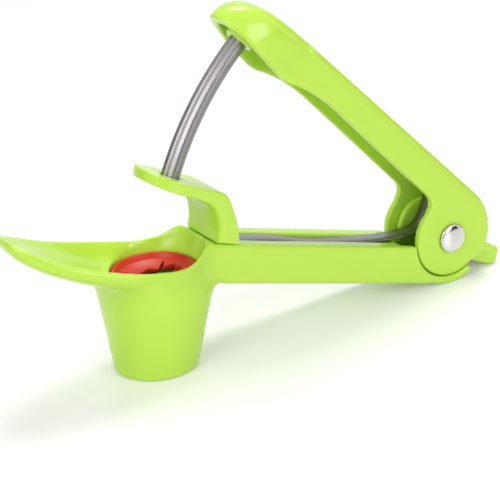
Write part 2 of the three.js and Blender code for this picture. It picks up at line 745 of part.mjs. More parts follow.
// Height of the funnel's floor, as its section gives it
function funnelFloor(radius) {
  const rows = funnelShares;
  const share = radius / ringRadius;
  const i = Math.max(rows.findIndex(([r]) => r <= share), 1);
  const [[r0, z0], [r1, z1]] = [rows[i - 1], rows[i]];
  return ringDepth * THREE.MathUtils.mapLinear(share, r0, r1, z0, z1);
}

// Raised edge round the mouth, from under the funnel's floor to above it
function mouthLip() {
  const ringAt = (out, lift) => oval(out).map((p) =>
    new THREE.Vector3(p.x, p.y, funnelFloor(Math.hypot(p.x, p.y)) + lift));
  const low = -lipWidth / 2;
  return loft([
    ringAt(lipWidth, low), ringAt(lipWidth, 0), ringAt(lipWidth / 2, lipHeight), ringAt(-weld, lipHeight)
  ]);
}

// Opening between two flaps, at a turn in degrees
function slit(reach, turn) {
  const half = slitWidth / 2;
  const plan = [[0, -half], [reach, -half], [reach, half], [0, half]];
  const gap = loft([-ringDepth, ringDepth].map((z) => plan.map(([x, y]) => new THREE.Vector3(x, y, z))));
  return gap.rotate([0, 0, turn]);
}

// Cross-section of the rod: a circle with four flutes
function rodSection(gap, segments = 32) {
  return circle(1, segments).map((p) => {
    const flute = fluteShare * Math.pow(Math.abs(Math.sin(2 * p.angle())), 3);
    return p.multiplyScalar(rodRadius * (1 - flute) + gap);
  });
}

// The rod's own shape between two angles about the hinge
function rodShape(from, to, gap, steps) {
  const section = rodSection(gap);
  return loft(Array.from({ length: steps + 1 }, (_, i) => {
    const a = from + (to - from) * i / steps;
    return section.map((p) => {
      const reach = rodArc + p.x;
      return new THREE.Vector3(-reach * Math.cos(a), p.y, reach * Math.sin(a));
    });
  }));
}

function plungerRod() {
  const bore = rodAcross(crossPinRadius + fit, -handleWidth, handleWidth, at(-rodArc, crossPinZ), 20);
  return cutBy(rodShape(rodLow - openAngle, socketAngle, 0, 22), bore);
}

function rodCrossPin() {
  return rodAcross(crossPinRadius, -bossRadius, bossRadius, at(-rodArc, crossPinZ), 20);
}

// Upper handle
function backAt(p) {
  return backHeight - taperShare * Math.max(p, 0);
}

function wallEdgeAt(p) {
  const share = THREE.MathUtils.clamp((p - headStart + wallFall) / wallFall, 0, 1);
  return wallEdge - (wallEdge - headEdge) * Math.pow(share, wallFallPower);
}

// Places along the handle, from one distance to another, both included
function spread(from, to, steps) {
  return Array.from({ length: steps + 1 }, (_, i) => from + (to - from) * i / steps);
}

function shellOutline() {
  const end = headStart + overrun;
  const notchX = cheekRadius * notchShares[0][0];
  const low = spread(end, notchX + overrun, 13).map((p) => at(-p, wallEdgeAt(p), edgeRound));
  const notch = notchShares.map(([x, drop]) =>
    at(-x * cheekRadius, wallEdge - drop * cheekRadius, edgeRound));
  const disc = rounded(arc(cheekRadius, Math.PI, 2 * Math.PI + cheekEnd, 24), cheekRound);
  const coverEdge = coverEdgeShares.map(([x, z, much]) =>
    at(x * backHeight, z * backHeight, backRound * much));
  const rear = rounded(arc(backHeight, rearEnd, Math.PI / 2, 10), backRound);
  const back = spread(0, end, 6).slice(1).map((p) => at(-p, backAt(p), backRound));
  return [...low, ...notch, ...disc, ...coverEdge, ...rear, ...back];
}

function shellHollow() {
  const end = headStart + overrun;
  const roof = spread(end, 0, 5).slice(0, -1).map((p) => at(-p, backAt(p) - skin));
  const out = backHeight + overrun;
  const inside = halfWidth - cheekWall;
  return prism([
    ...roof, ...arc(backHeight - skin, Math.PI / 2, rearEnd, 10),
    at(out * Math.cos(rearEnd), out * Math.sin(rearEnd)), at(out, -backHeight), at(-end, -backHeight)
  ], -inside, inside);
}

function headRing({ along, half, top, edge, power }, inset) {
  const x = headWall * Math.sign(inset) - headStart - along * headLength;
  const wide = half * halfWidth - inset;
  const low = edge * headHeight;
  const high = top * headHeight - inset - low;
  const steps = 18;
  const ring = Array.from({ length: steps + 1 }, (_, i) => {
    const turn = Math.PI * i / steps;
    return new THREE.Vector3(x, wide * bulge(turn, power), low + high * Math.pow(Math.sin(turn), power));
  });
  if (inset > 0) {
    ring.unshift(new THREE.Vector3(x, wide, -backHeight));
    ring.push(new THREE.Vector3(x, -wide, -backHeight));
  }
  return ring;
}

// Ribs that keep the spring's upper end, ahead of it and behind it
function keepers() {
  const end = springPath().getPoint(1);
  const tip = new THREE.Vector2(end.x, end.z).rotateAround(new THREE.Vector2(), openAngle);
  return [-1, 1].map((side) => {
    const middle = tip.x + side * keeperGap;
    const roof = backHeight - skin + weld;
    const outline = [[-1, roof], [-1, roof - keeperDepth], [1, roof - keeperDepth], [1, roof]];
    return prism(outline.map(([edge, z]) => at(middle + edge * keeperWall / 2, z)), -earInner, earInner);
  });
}

function upperHandle() {
  const shell = roundedSlab(shellOutline(), halfWidth, 4);
  const head = loft(headShares.map((s) => headRing(s, 0)));
  const wideEnough = (s) => s.half * halfWidth > 2 * skin;
  const headHollow = loft(headShares.filter(wideEnough).map((s) => headRing(s, skin)));
  const hollowed = cutBy(joined(shell, head), shellHollow(), headHollow);
  const ribHalf = halfWidth - cheekWall / 2;
  const ribOutline = [...arc(ribOuter, ribFrom, ribTo, 4), ...arc(ribInner, ribTo, ribFrom, 4)];
  const rib = prism(ribOutline, -ribHalf, ribHalf);
  const boss = upright(bossRadius, bossLow, backAt(rodArc) - skin + weld, 32).translate([-rodArc, 0, 0]);
  const socket = rodShape(-2 * socketAngle, socketAngle + fit / rodArc, fit, 10);
  const across = bossRadius + overrun;
  const crossBore = rodAcross(crossPinRadius + fit, -across, across, at(-rodArc, crossPinZ));
  const pinBore = rodAcross(pinRadius + fit, -handleWidth, handleWidth);
  return cutBy(joined(hollowed, rib, boss.intersect(head), ...keepers()), socket, pinBore, crossBore);
}

// Hinge pin, along Y: domed head on the near cheek, domed cap on the far one
function domedHead() {
  const steps = 6;
  return [[pinHeadRadius, 0], ...spread(0, Math.PI / 2, steps).map((a, i) =>
    [i < steps ? pinHeadRadius * Math.cos(a) : 0, pinRim + pinDome * Math.sin(a)])];
}

function hingePin() {
  const length = handleWidth + fit;
  const solid = turned([[0, -length], [pinRadius, -length], [pinRadius, 0], ...domedHead()], 40);
  const socket = upright(capStub + fit, -length - overrun, capStubLength + fit - length, 20);
  return cutBy(solid, socket).rotate([90, 0, 0]).translate([0, -halfWidth - fit, 0]);
}

function hingePinCap() {
  const solid = turned([[0, -capStubLength], [capStub, -capStubLength], [capStub, 0], ...domedHead()], 40);
  return solid.rotate([-90, 0, 0]).translate([0, halfWidth + fit, 0]);
}

// Lock tab: a tongue between the ears with a flared end for the thumb
function lockTab() {
  const tongue = block(-tongueNose, tabShoulder + overrun, tongueLow, tongueTop, tongueHalf);
  const flare = tabShares.map(([along, up, round]) =>
    at(tabShoulder + along * tabLength, tongueLow + up * tabHeight, round * tabHeight));
  return joined(tongue, roundedSlab(flare, tabHalf, 3));
}

// Scene graph
function piece(name, solid, finish) {
  const mesh = new THREE.Mesh(geometryFrom(solid), new THREE.MeshStandardMaterial(finish));
  mesh.name = name;
  return mesh;
}

const pitter = new THREE.Group();
const tilted = new THREE.Group();
const handle = new THREE.Group();
tilted.rotation.y = barSlope;
handle.rotation.y = openAngle;
pitter.add(tilted);
tilted.add(handle);

tilted.add(
  piece('lower_handle', lowerHandle(), green),
  piece('guide_bracket', guideBracket(), green),
  piece('bracket_screw', bracketScrew(), steel),
  piece('pit_gasket', pitRing(), red),
  piece('leaf_spring', leafSpring(), steel),
  piece('hinge_pin', hingePin(), polished),
  piece('hinge_pin_cap', hingePinCap(), polished),
  piece('lock_tab', lockTab(), green)
);
handle.add(
  piece('upper_handle', upperHandle(), green),
  piece('plunger_rod', plungerRod(), steel),
  piece('rod_cross_pin', rodCrossPin(), steel)
);

// The origin goes under the middle of the object, on the surface that it stands on
pitter.updateMatrixWorld(true);
const box = new THREE.Box3().setFromObject(pitter, true);
tilted.position.set(-(box.min.x + box.max.x) / 2, -(box.min.y + box.max.y) / 2, -box.min.z);
pitter.updateMatrixWorld(true);

export default pitter;
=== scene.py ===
# Cherry pitter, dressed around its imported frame. Lengths are millimetres until a mesh is placed.
import json
import math

import bmesh
import bpy
from mathutils import Matrix, Vector


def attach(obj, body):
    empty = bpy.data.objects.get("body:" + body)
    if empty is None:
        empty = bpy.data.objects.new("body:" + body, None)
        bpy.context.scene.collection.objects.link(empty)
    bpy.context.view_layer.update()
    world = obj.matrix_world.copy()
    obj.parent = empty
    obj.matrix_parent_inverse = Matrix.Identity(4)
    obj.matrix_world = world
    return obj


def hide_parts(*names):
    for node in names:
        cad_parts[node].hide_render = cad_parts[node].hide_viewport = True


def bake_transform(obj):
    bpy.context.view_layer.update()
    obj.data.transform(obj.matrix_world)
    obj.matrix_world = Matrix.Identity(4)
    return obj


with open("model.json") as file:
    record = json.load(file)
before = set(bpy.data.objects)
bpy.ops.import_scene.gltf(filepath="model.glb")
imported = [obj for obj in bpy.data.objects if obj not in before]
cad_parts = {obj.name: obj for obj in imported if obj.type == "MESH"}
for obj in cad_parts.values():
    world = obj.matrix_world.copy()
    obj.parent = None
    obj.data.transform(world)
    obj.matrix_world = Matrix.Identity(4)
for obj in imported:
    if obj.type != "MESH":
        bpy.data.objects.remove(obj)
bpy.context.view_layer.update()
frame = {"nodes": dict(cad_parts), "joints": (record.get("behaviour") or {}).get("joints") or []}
scene = bpy.context.scene
mm = 0.001
weldDistance = 1e-4
smoothing = 0.5
noiseSpan = (0.3, 0.7)    # where nearly all of a noise's values lie

# Where things are: the hinge axis, the bar's slope and how far the handle stands open
barSlope = math.radians(16.1)
openAngle = math.radians(31.75)
hingeJoint = next(j for j in frame["joints"] if j["name"] == "handle_hinge")
hinge = Vector(hingeJoint["pos_m"])
levelFrame = Matrix.Translation(hinge)
barFrame = levelFrame @ Matrix.Rotation(barSlope, 4, "Y")
handleFrame = levelFrame @ Matrix.Rotation(barSlope + openAngle, 4, "Y")
levelInBar = Matrix.Rotation(-barSlope, 4, "Y")

shared = {
    "halfWidth": 9.6,      # both handles are this wide on each side of the middle
    "cheekWall": 2.5,
    "cheekRadius": 12.45,
    "barTop": -3.4,
    "barBottom": -15.2,
    "pinRadius": 2.6,
    "fit": 0.3,
    "runFit": 0.4,
}
acrossReach = 20    # cuts that go right through reach this far on each side


# Mesh building
def meshObject(name, points, faces):
    mesh = bpy.data.meshes.new(name)
    mesh.from_pydata([Vector(p) for p in points], [], faces)
    body = bmesh.new()
    body.from_mesh(mesh)
    bmesh.ops.remove_doubles(body, verts=body.verts, dist=weldDistance)
    bmesh.ops.recalc_face_normals(body, faces=body.faces)
    body.to_mesh(mesh)
    body.free()
    piece = bpy.data.objects.new(name, mesh)
    scene.collection.objects.link(piece)
    return piece


# Closed skin through rings that all have the same number of points
def loft(name, rings, closeRing=True):
    count = len(rings[0])
    points = [p for ring in rings for p in ring]
    faces = []
    for r in range(len(rings) - 1):
        for i in range(count if closeRing else count - 1):
            a, b = r * count + i, r * count + (i + 1) % count
            faces.append((a, b, b + count, a + count))
    faces.append(tuple(range(count)))
    faces.append(tuple(range(len(points) - count, len(points))))
    return meshObject(name, points, faces)


def arc(radius, start, end, steps, x=0.0, z=0.0):
    turns = [start + (end - start) * i / steps for i in range(steps + 1)]
    return [(x + radius * math.cos(a), z + radius * math.sin(a)) for a in turns]


# Slab across Y from an outline of (x, z, edge rounding)
def slab(name, outline, half, steps=5):
    area = sum(p[0] * q[1] - q[0] * p[1] for p, q in zip(outline, outline[1:] + outline[:1]))
    points = outline if area > 0 else outline[::-1]
    inward = []
    for i, _ in enumerate(points):
        before, after = points[i - 1], points[(i + 1) % len(points)]
        along = Vector((after[0] - before[0], after[1] - before[1])).normalized()
        inward.append((-along.y, along.x))
    turns = [math.pi / 2 * k / steps for k in range(steps + 1)]
    rings = []
    for side, order in ((-1, turns[::-1]), (1, turns)):
        for turn in order:
            ring = []
            for (x, z, rounding), (nx, nz) in zip(points, inward):
                draw = rounding * (1 - math.cos(turn))
                y = side * (half - rounding * (1 - math.sin(turn)))
                ring.append((x + nx * draw, y, z + nz * draw))
            rings.append(ring)
    return loft(name, rings)


def plain(points):
    return [(x, z, 0.0) for x, z in points]


# Turned about Z from (radius, height) pairs
def turned(name, profile, segments=96):
    rings = []
    for i in range(segments):
        a = 2 * math.pi * i / segments
        rings.append([(r * math.cos(a), r * math.sin(a), h) for r, h in profile])
    count = len(profile)
    points = [p for ring in rings for p in ring]
    faces = []
    for i in range(segments):
        for j in range(count - 1):
            a, b = i * count + j, (i + 1) % segments * count + j
            faces.append((a, b, b + 1, a + 1))
    return meshObject(name, points, faces)


def turnedAcross(name, radius, low, high, x=0.0, z=0.0, segments=96):
    piece = turned(name, [(0, low), (radius, low), (radius, high), (0, high)], segments)
    piece.data.transform(Matrix.Translation((x, 0, z)) @ Matrix.Rotation(math.pi / 2, 4, "X"))
    return piece


# Listed rows made finer, on a smooth curve through them
def finer(rows, between):
    smooth = []
    last = len(rows) - 1
    for i in range(last):
        p0, p1, p2, p3 = rows[max(i - 1, 0)], rows[i], rows[i + 1], rows[min(i + 2, last)]
        for k in range(between):
            t = k / between
            smooth.append(tuple(
                0.5 * (2 * b + (c - a) * t + (2 * a - 5 * b + 4 * c - d) * t ** 2
                       + (3 * b - a - 3 * c + d) * t ** 3)
                for a, b, c, d in zip(p0, p1, p2, p3)))
    smooth.append(rows[last])
    return smooth


def valueAt(rows, key, column):
    for (k0, *v0), (k1, *v1) in zip(rows, rows[1:]):
        if min(k0, k1) <= key <= max(k0, k1) and k0 != k1:
            share = (key - k0) / (k1 - k0)
            return v0[column] + (v1[column] - v0[column]) * share
    return rows[-1][column + 1]


def applyAll(piece):
    depsgraph = bpy.context.evaluated_depsgraph_get()
    solved = bpy.data.meshes.new_from_object(piece.evaluated_get(depsgraph))
    old = piece.data
    piece.modifiers.clear()
    piece.data = solved
    bpy.data.meshes.remove(old)
    return piece


def combine(piece, tools, operation):
    for tool in tools:
        step = piece.modifiers.new(tool.name, "BOOLEAN")
        step.operation = operation
        step.solver = "MANIFOLD"
        step.object = tool
    applyAll(piece)
    for tool in tools:
        bpy.data.objects.remove(tool)
    return piece


def join(piece, *tools):
    return combine(piece, tools, "UNION")


def cut(piece, *tools):
    return combine(piece, tools, "DIFFERENCE")


def trim(piece, *tools):
    return combine(piece, tools, "INTERSECT")


# Moulded skin: an even mesh whose sharp edges are softened
def mould(piece, voxel, passes, zone=None, zonePasses=0):
    remesh = piece.modifiers.new("even mesh", "REMESH")
    remesh.mode = "VOXEL"
    remesh.voxel_size = voxel
    remesh.use_smooth_shade = True
    applyAll(piece)
    soften = piece.modifiers.new("soft edges", "SMOOTH")
    soften.factor = smoothing
    soften.iterations = passes
    if zone:
        group = piece.vertex_groups.new(name="zone")
        for vertex in piece.data.vertices:
            weight = zone(vertex.co)
            if weight > 0:
                group.add([vertex.index], weight, "REPLACE")
        blend = piece.modifiers.new("soft joins", "SMOOTH")
        blend.factor = smoothing
        blend.iterations = zonePasses
        blend.vertex_group = group.name
    applyAll(piece)
    return piece


def place(piece, matrix):
    piece.data.transform(matrix @ Matrix.Scale(mm, 4))
    for polygon in piece.data.polygons:
        polygon.use_smooth = True
    return piece


def finishPiece(piece, matrix, body, slot, material, *nodes, turn=None):
    if turn:
        piece.data.transform(turn)
    place(piece, matrix)
    piece.data.materials.clear()
    piece.data.materials.append(material)
    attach(piece, body)
    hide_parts(*nodes)
    print("made", piece.name, len(piece.data.polygons), "faces")
    return piece


# Finishes
def startMaterial(name):
    material = bpy.data.materials.new(name)
    material.use_nodes = True
    nodes = material.node_tree.nodes
    shader = nodes["Principled BSDF"]
    place3d = nodes.new("ShaderNodeTexCoord")
    return material, nodes, material.node_tree.links, shader, place3d


def addNoise(nodes, links, coordinates, scale, detail, stretch=(1, 1, 1)):
    mapping = nodes.new("ShaderNodeMapping")
    mapping.inputs["Scale"].default_value = stretch
    links.new(coordinates, mapping.inputs["Vector"])
    texture = nodes.new("ShaderNodeTexNoise")
    texture.inputs["Scale"].default_value = scale
    texture.inputs["Detail"].default_value = detail
    links.new(mapping.outputs["Vector"], texture.inputs["Vector"])
    return texture.outputs["Fac"]


def addRange(nodes, links, source, low, high):
    spread = nodes.new("ShaderNodeMapRange")
    spread.inputs["From Min"].default_value = noiseSpan[0]
    spread.inputs["From Max"].default_value = noiseSpan[1]
    spread.inputs["To Min"].default_value = low
    spread.inputs["To Max"].default_value = high
    links.new(source, spread.inputs["Value"])
    return spread.outputs["Result"]


def addMix(nodes, links, source, first, second):
    mix = nodes.new("ShaderNodeMix")
    mix.data_type = "RGBA"
    mix.inputs["A"].default_value = (*first, 1)
    mix.inputs["B"].default_value = (*second, 1)
    links.new(source, mix.inputs["Factor"])
    return mix.outputs["Result"]


def addBump(nodes, links, source, strength, distance):
    bump = nodes.new("ShaderNodeBump")
    bump.inputs["Strength"].default_value = strength
    bump.inputs["Distance"].default_value = distance
    links.new(source, bump.inputs["Height"])
    return bump.outputs["Normal"]


limePlastic = {
    "colour": (0.52, 0.785, 0.072),
    "deeper": (0.49, 0.77, 0.068),
    "roughness": (0.20, 0.25),
    "cloud": (70.0, 3),     # cells to the metre, and octaves
    "grain": (2500.0, 2),
    "grainStrength": 0.02,
    "grainDepth": 0.00002,
    "ior": 1.5,
}


def makePlastic():
    material, nodes, links, shader, spot = startMaterial("limePlastic")
    cloud = addNoise(nodes, links, spot.outputs["Object"], *limePlastic["cloud"])
    fine = addNoise(nodes, links, spot.outputs["Object"], *limePlastic["grain"])
    links.new(addMix(nodes, links, cloud, limePlastic["colour"], limePlastic["deeper"]),
              shader.inputs["Base Color"])
    links.new(addRange(nodes, links, fine, *limePlastic["roughness"]), shader.inputs["Roughness"])
    links.new(addBump(nodes, links, fine, limePlastic["grainStrength"], limePlastic["grainDepth"]),
              shader.inputs["Normal"])
    shader.inputs["IOR"].default_value = limePlastic["ior"]
    return material


redRubber = {
    "colour": (0.66, 0.040, 0.014),
    "deeper": (0.57, 0.030, 0.010),
    "roughness": (0.30, 0.42),
    "shine": 0.3,
    "cloud": (160.0, 3),
    "grain": (1500.0, 3),
    "grainStrength": 0.3,
    "grainDepth": 0.00003,
}


def makeRubber():
    material, nodes, links, shader, spot = startMaterial("redRubber")
    cloud = addNoise(nodes, links, spot.outputs["Object"], *redRubber["cloud"])
    fine = addNoise(nodes, links, spot.outputs["Object"], *redRubber["grain"])
    links.new(addMix(nodes, links, cloud, redRubber["colour"], redRubber["deeper"]),
              shader.inputs["Base Color"])
    links.new(addRange(nodes, links, fine, *redRubber["roughness"]), shader.inputs["Roughness"])
    links.new(addBump(nodes, links, fine, redRubber["grainStrength"], redRubber["grainDepth"]),
              shader.inputs["Normal"])
    shader.inputs["Specular IOR Level"].default_value = redRubber["shine"]
    return material


brushedSteel = {
    "rod": ((0.33, 0.32, 0.315), (0.17, 0.165, 0.16)),
    "strip": ((0.30, 0.29, 0.285), (0.21, 0.205, 0.20)),
    "roughness": (0.32, 0.42),
    "streaks": (800.0, 4),
    "alongRod": (1.0, 1.0, 0.03),    # the grain is drawn out along the rod
    "alongStrip": (0.04, 1.0, 1.0),
    "specks": (2600.0, 2),
    "speckStrength": 0.5,
    "speckDepth": 0.00004,
}


# Steel with its grain along one way; the rod carries its own straightened coordinates
def makeSteel(name, colours, stretch, straightened=None):
    material, nodes, links, shader, spot = startMaterial(name)
    source = spot.outputs["Object"]
    if straightened:
        attribute = nodes.new("ShaderNodeAttribute")
        attribute.attribute_name = straightened
        source = attribute.outputs["Vector"]
    streaks = addNoise(nodes, links, source, *brushedSteel["streaks"], stretch)
    specks = addNoise(nodes, links, spot.outputs["Object"], *brushedSteel["specks"])
    links.new(addMix(nodes, links, streaks, *colours), shader.inputs["Base Color"])
    links.new(addRange(nodes, links, specks, *brushedSteel["roughness"]), shader.inputs["Roughness"])
    links.new(addBump(nodes, links, specks, brushedSteel["speckStrength"], brushedSteel["speckDepth"]),
              shader.inputs["Normal"])
    shader.inputs["Metallic"].default_value = 1
    return material


polishedSteel = {
    "colour": (0.70, 0.685, 0.67),
    "darker": (0.62, 0.60, 0.59),
    "roughness": (0.09, 0.16),
    "cloud": (500.0, 3),
}


def makePolished():
    material, nodes, links, shader, spot = startMaterial("polishedSteel")
    cloud = addNoise(nodes, links, spot.outputs["Object"], *polishedSteel["cloud"])
    links.new(addMix(nodes, links, cloud, polishedSteel["colour"], polishedSteel["darker"]),
              shader.inputs["Base Color"])
    links.new(addRange(nodes, links, cloud, *polishedSteel["roughness"]), shader.inputs["Roughness"])
    shader.inputs["Metallic"].default_value = 1
    return material


plastic = makePlastic()
rubber = makeRubber()
rodSteel = makeSteel("rodSteel", brushedSteel["rod"], brushedSteel["alongRod"], "straightened")
stripSteel = makeSteel("stripSteel", brushedSteel["strip"], brushedSteel["alongStrip"])
polished = makePolished()
print("finishes ready")


# Lower handle, in the bar's frame: bar, tray, cup, ears and the lip under the cheeks
lowerHandle = {
    "barRear": 84.0,
    "edge": 0.7,
    "lipAngle": math.radians(-47),
    "earRadius": 9.3,
    "earWall": 2.0,
    "channelWidth": 8.0,
    "channelDepth": 4.4,
    "channelFront": 77.4,
    "springSeat": 1.2,
    "springFront": 83.6,
    "pocketLength": 16.6,
    "pocketDepth": 9.4,
    "tongueTop": -7.3,
    "tongueThick": 2.3,
    "tongueHalf": 4.2,
    "rimBevel": 0.9,
    "bevelFrom": 84.8,      # the bevel grows from here to its full size in a sixth of the tray
    "bevelGrowth": 6,
    "rimWidth": 1.9,
    "sidePower": 0.62,      # how square the tray's underside is, across and down
    "keelPower": 0.72,
    "bowlSidePower": 0.75,  # the same for the bowl, and how its floor falls from the tip
    "bowlKeelPower": 0.9,
    "bowlFallPower": 0.86,
    "narrowest": 1.6,       # the bowl ends where the tray's half width is this many rims
    "armStop": math.radians(-98),  # the ears' arms stop here when the handle is closed
    "armGap": 0.4 / 10.1,   # as a turn: the gap over the radius where it is left
    "armTop": 1.4,          # in ear walls below the bar's top, at the pocket and by the disc
    "armShoulder": 0.8,
    "armFront": 0.6,        # in ear radii ahead of the pin, above and below
    "armHeel": 1.12,
    "armInset": 0.2,
    "seatRear": 76.4,
    "pocketHalf": 6.7,
    "pocketShare": 0.4,     # of the cheek's recess: how near the pin the pocket and the slot come
    "slotRear": 25,
    "clear": 2,             # cuts run this far past the surface
    "headBore": 2.9,        # for the bracket screw's head, from below
    "headSink": 2.6,
    "voxel": 0.46,
    "edgePasses": 4,
    "joinPasses": 220,      # these soften the joins of cup, tray and bar
    "joinRear": 80,         # nothing nearer the hinge is softened
    "bowlEdge": -5.5,       # the bowl's own skin is softened below this height
    "bowlFade": 3,
    "bowlRear": 86.5,
    "rearWallEnd": 96,      # the bowl's rear wall, nearer than this, is softened a little all over
    "rearSoftness": 0.25,
    "aboveRing": 0.8,
    "joinFrom": 8.0,        # above the floor
    "joinTop": -12.6,       # below the hinge, in the bar's frame
    "joinFade": 2.5,
}
# Distance from the hinge, half width, rim height, underside height
trayRows = [
    (148.0, 1.2, -5.2, -7.0), (147.3, 3.6, -5.4, -8.2), (145.8, 5.7, -5.9, -9.7),
    (143.2, 7.9, -6.8, -11.3), (138.5, 10.6, -8.0, -13.1), (132.5, 12.5, -9.2, -14.7),
    (126.0, 13.8, -10.0, -15.9), (119.0, 14.9, -10.4, -16.8), (112.0, 15.6, -10.5, -17.2),
    (105.0, 15.4, -10.2, -17.2), (99.5, 14.6, -9.8, -16.9), (95.5, 13.4, -8.7, -16.4),
    (92.0, 11.7, -6.8, -15.9), (89.4, 10.4, -4.5, -15.4), (87.4, 9.7, -2.9, -15.2),
    (86.2, 9.6, -3.0, -15.2), (85.3, 9.6, -3.4, -15.2), (83.0, 9.6, -3.4, -15.2),
]
cup = {
    "footX": -100.8,
    "topX": -98.9,
    "footRadius": 12.4,
    "footEdge": 1.1,
    "wall": 2.0,
    "flare": 0.197,
    "ringHeight": 29.9,
    "ringRadius": 12.5,
    "ringDepth": 4.6,
    "ledgeHeight": 1.6,
    "ledgeRadius": 10.9,
    "shoulder": 3,          # the inside narrows to the ledge over this height
    "seatGap": 0.2,
    "dishHeight": 6.0,
    "dishReach": 2.0,
    "dishGrowth": (0.5, 0.8, 0.9),
    "drawHeight": 14.0,     # the cup's top draws in to the tray's outline over this height
}
floorZ = shared["barBottom"]
trayFine = finer(trayRows, 6)


def bevelShare(u):
    start = lowerHandle["bevelFrom"]
    return min(max((u - start) / (trayRows[0][0] - start) * lowerHandle["bevelGrowth"], 0), 1)


def trayHalf(u):
    if u < trayRows[-1][0]:
        return shared["halfWidth"]
    return valueAt(trayFine, u, 0) + lowerHandle["rimBevel"] * bevelShare(u)


def levelToBar(x, z):
    return (x * math.cos(barSlope) - z * math.sin(barSlope),
            x * math.sin(barSlope) + z * math.cos(barSlope))


def cupCentre(height):
    share = min(height / (cup["ringHeight"] - cup["ringDepth"] - cup["ledgeHeight"]), 1)
    return cup["footX"] + (cup["topX"] - cup["footX"]) * share


def reachInTray(turn):
    reach = cup["ledgeRadius"]
    while reach < 2 * cup["ledgeRadius"]:
        u = -levelToBar(cup["topX"] + reach * math.cos(turn), floorZ + cup["ringHeight"])[0]
        if u > trayRows[0][0] or abs(reach * math.sin(turn)) >= trayHalf(u):
            break
        reach += shared["fit"] / 2
    return reach - shared["fit"]


# Level rings, each (height, radius, shift, held): held draws a ring in to the tray's outline
def levelRings(name, rows, segments=144):
    turns = [2 * math.pi * i / segments for i in range(segments)]
    reaches = [reachInTray(a) for a in turns]
    rings = []
    for height, radius, shift, held in rows:
        ring = []
        for a, reach in zip(turns, reaches):
            r = radius - max(radius - reach, 0) * held
            ring.append((cupCentre(height) + shift + r * math.cos(a), r * math.sin(a), floorZ + height))
        rings.append(ring)
    piece = loft(name, rings)
    piece.data.transform(levelInBar)
    return piece


def trayShape():
    rings = []
    steps, bevelSteps = 40, 6
    bevel = lowerHandle["rimBevel"]
    for u, half, rim, under in trayFine:
        sideTop = rim - bevel
        wide = max(half, 2 * bevel) + bevel * bevelShare(u)
        ring = []
        for i in range(bevelSteps + 1):
            a = math.pi / 2 * (1 - i / bevelSteps)
            ring.append((-u, wide - bevel + bevel * math.cos(a), sideTop + bevel * math.sin(a)))
        for i in range(1, steps):
            a = math.pi * i / steps
            across = math.copysign(abs(math.cos(a)) ** lowerHandle["sidePower"], math.cos(a))
            down = math.sin(a) ** lowerHandle["keelPower"]
            ring.append((-u, wide * across, sideTop - (sideTop - under) * down))
        for i in range(bevelSteps + 1):
            a = math.pi / 2 * i / bevelSteps
            ring.append((-u, bevel - wide - bevel * math.cos(a), sideTop + bevel * math.sin(a)))
        rings.append(ring)
    return loft("tray", rings)


def bowlFloor(u):
    front = levelToBar(cup["topX"] - cup["ringRadius"] - shared["fit"], floorZ + cup["ringHeight"])
    if u < -front[0]:
        return front[1] + (-front[0] - u) * math.tan(barSlope)
    start = trayRows[0][0] - lowerHandle["rimWidth"]
    share = min(max((start - u) / (start + front[0]), 0), 1)
    tip = trayRows[0][2] - lowerHandle["rimBevel"]
    return tip + (front[1] - tip) * share ** lowerHandle["bowlFallPower"]


def bowlShape():
    rings = []
    steps = 32
    above = 10
    width = lowerHandle["rimWidth"]
    middle = -levelToBar(cup["topX"], floorZ + cup["ringHeight"])[0]
    for u, half, rim, _ in trayFine:
        if half < lowerHandle["narrowest"] * width or u < middle:
            continue
        inner = half - width
        floor = min(bowlFloor(u), rim - lowerHandle["rimBevel"])
        ring = [(-u, inner, rim + above), (-u, inner, rim)]
        for i in range(1, steps):
            a = math.pi * i / steps
            across = math.copysign(abs(math.cos(a)) ** lowerHandle["bowlSidePower"], math.cos(a))
            down = math.sin(a) ** lowerHandle["bowlKeelPower"]
            ring.append((-u, inner * across, rim - (rim - floor) * down))
        ring += [(-u, -inner, rim), (-u, -inner, rim + above)]
        rings.append(ring)
    return loft("bowl", rings)


def barShape():
    recess = shared["cheekRadius"] + shared["runFit"]
    top, bottom = shared["barTop"], shared["barBottom"]
    rear, edge, lip = -lowerHandle["barRear"], lowerHandle["edge"], lowerHandle["lipAngle"]
    inner = arc(recess, math.pi + math.asin(-top / recess), 2 * math.pi + lip, 60)
    middle = (recess - bottom) / 2
    tip = arc((-bottom - recess) / 2, lip + math.pi, lip, 10,
              middle * math.cos(lip), middle * math.sin(lip))[1:-1]
    outer = arc(-bottom, 2 * math.pi + lip, 1.5 * math.pi, 30)
    outline = [(rear, bottom, edge), (rear, top, edge)]
    outline += plain(inner) + plain(tip) + [(x, z, edge) for x, z in outer]
    return slab("lower_handle_body", outline, shared["halfWidth"])


def earShape(side):
    inner = shared["halfWidth"] - shared["cheekWall"] - shared["runFit"] - lowerHandle["earWall"]
    outer = inner + lowerHandle["earWall"]
    radius, wall = lowerHandle["earRadius"], lowerHandle["earWall"]
    pocket = -lowerHandle["pocketLength"] - 1
    top, bottom = shared["barTop"], shared["barBottom"]
    stop = lowerHandle["armStop"] - openAngle - lowerHandle["armGap"]
    near, reach = radius - lowerHandle["armInset"], shared["cheekRadius"] + shared["runFit"] + 1
    disc = slab("ear", plain(arc(radius, 0, 2 * math.pi, 96)[:-1]), wall / 2)
    arm = slab("arm", plain([
        (pocket, top - lowerHandle["armTop"] * wall),
        (-lowerHandle["armFront"] * radius, top - lowerHandle["armShoulder"] * wall),
        (near * math.cos(stop), near * math.sin(stop)),
        (reach * math.cos(stop), reach * math.sin(stop)),
        (-lowerHandle["armHeel"] * radius, bottom + wall), (pocket, bottom + wall)]), wall / 2)
    ear = join(disc, arm)
    ear.data.transform(Matrix.Translation((0, side * (inner + outer) / 2, 0)))
    return ear


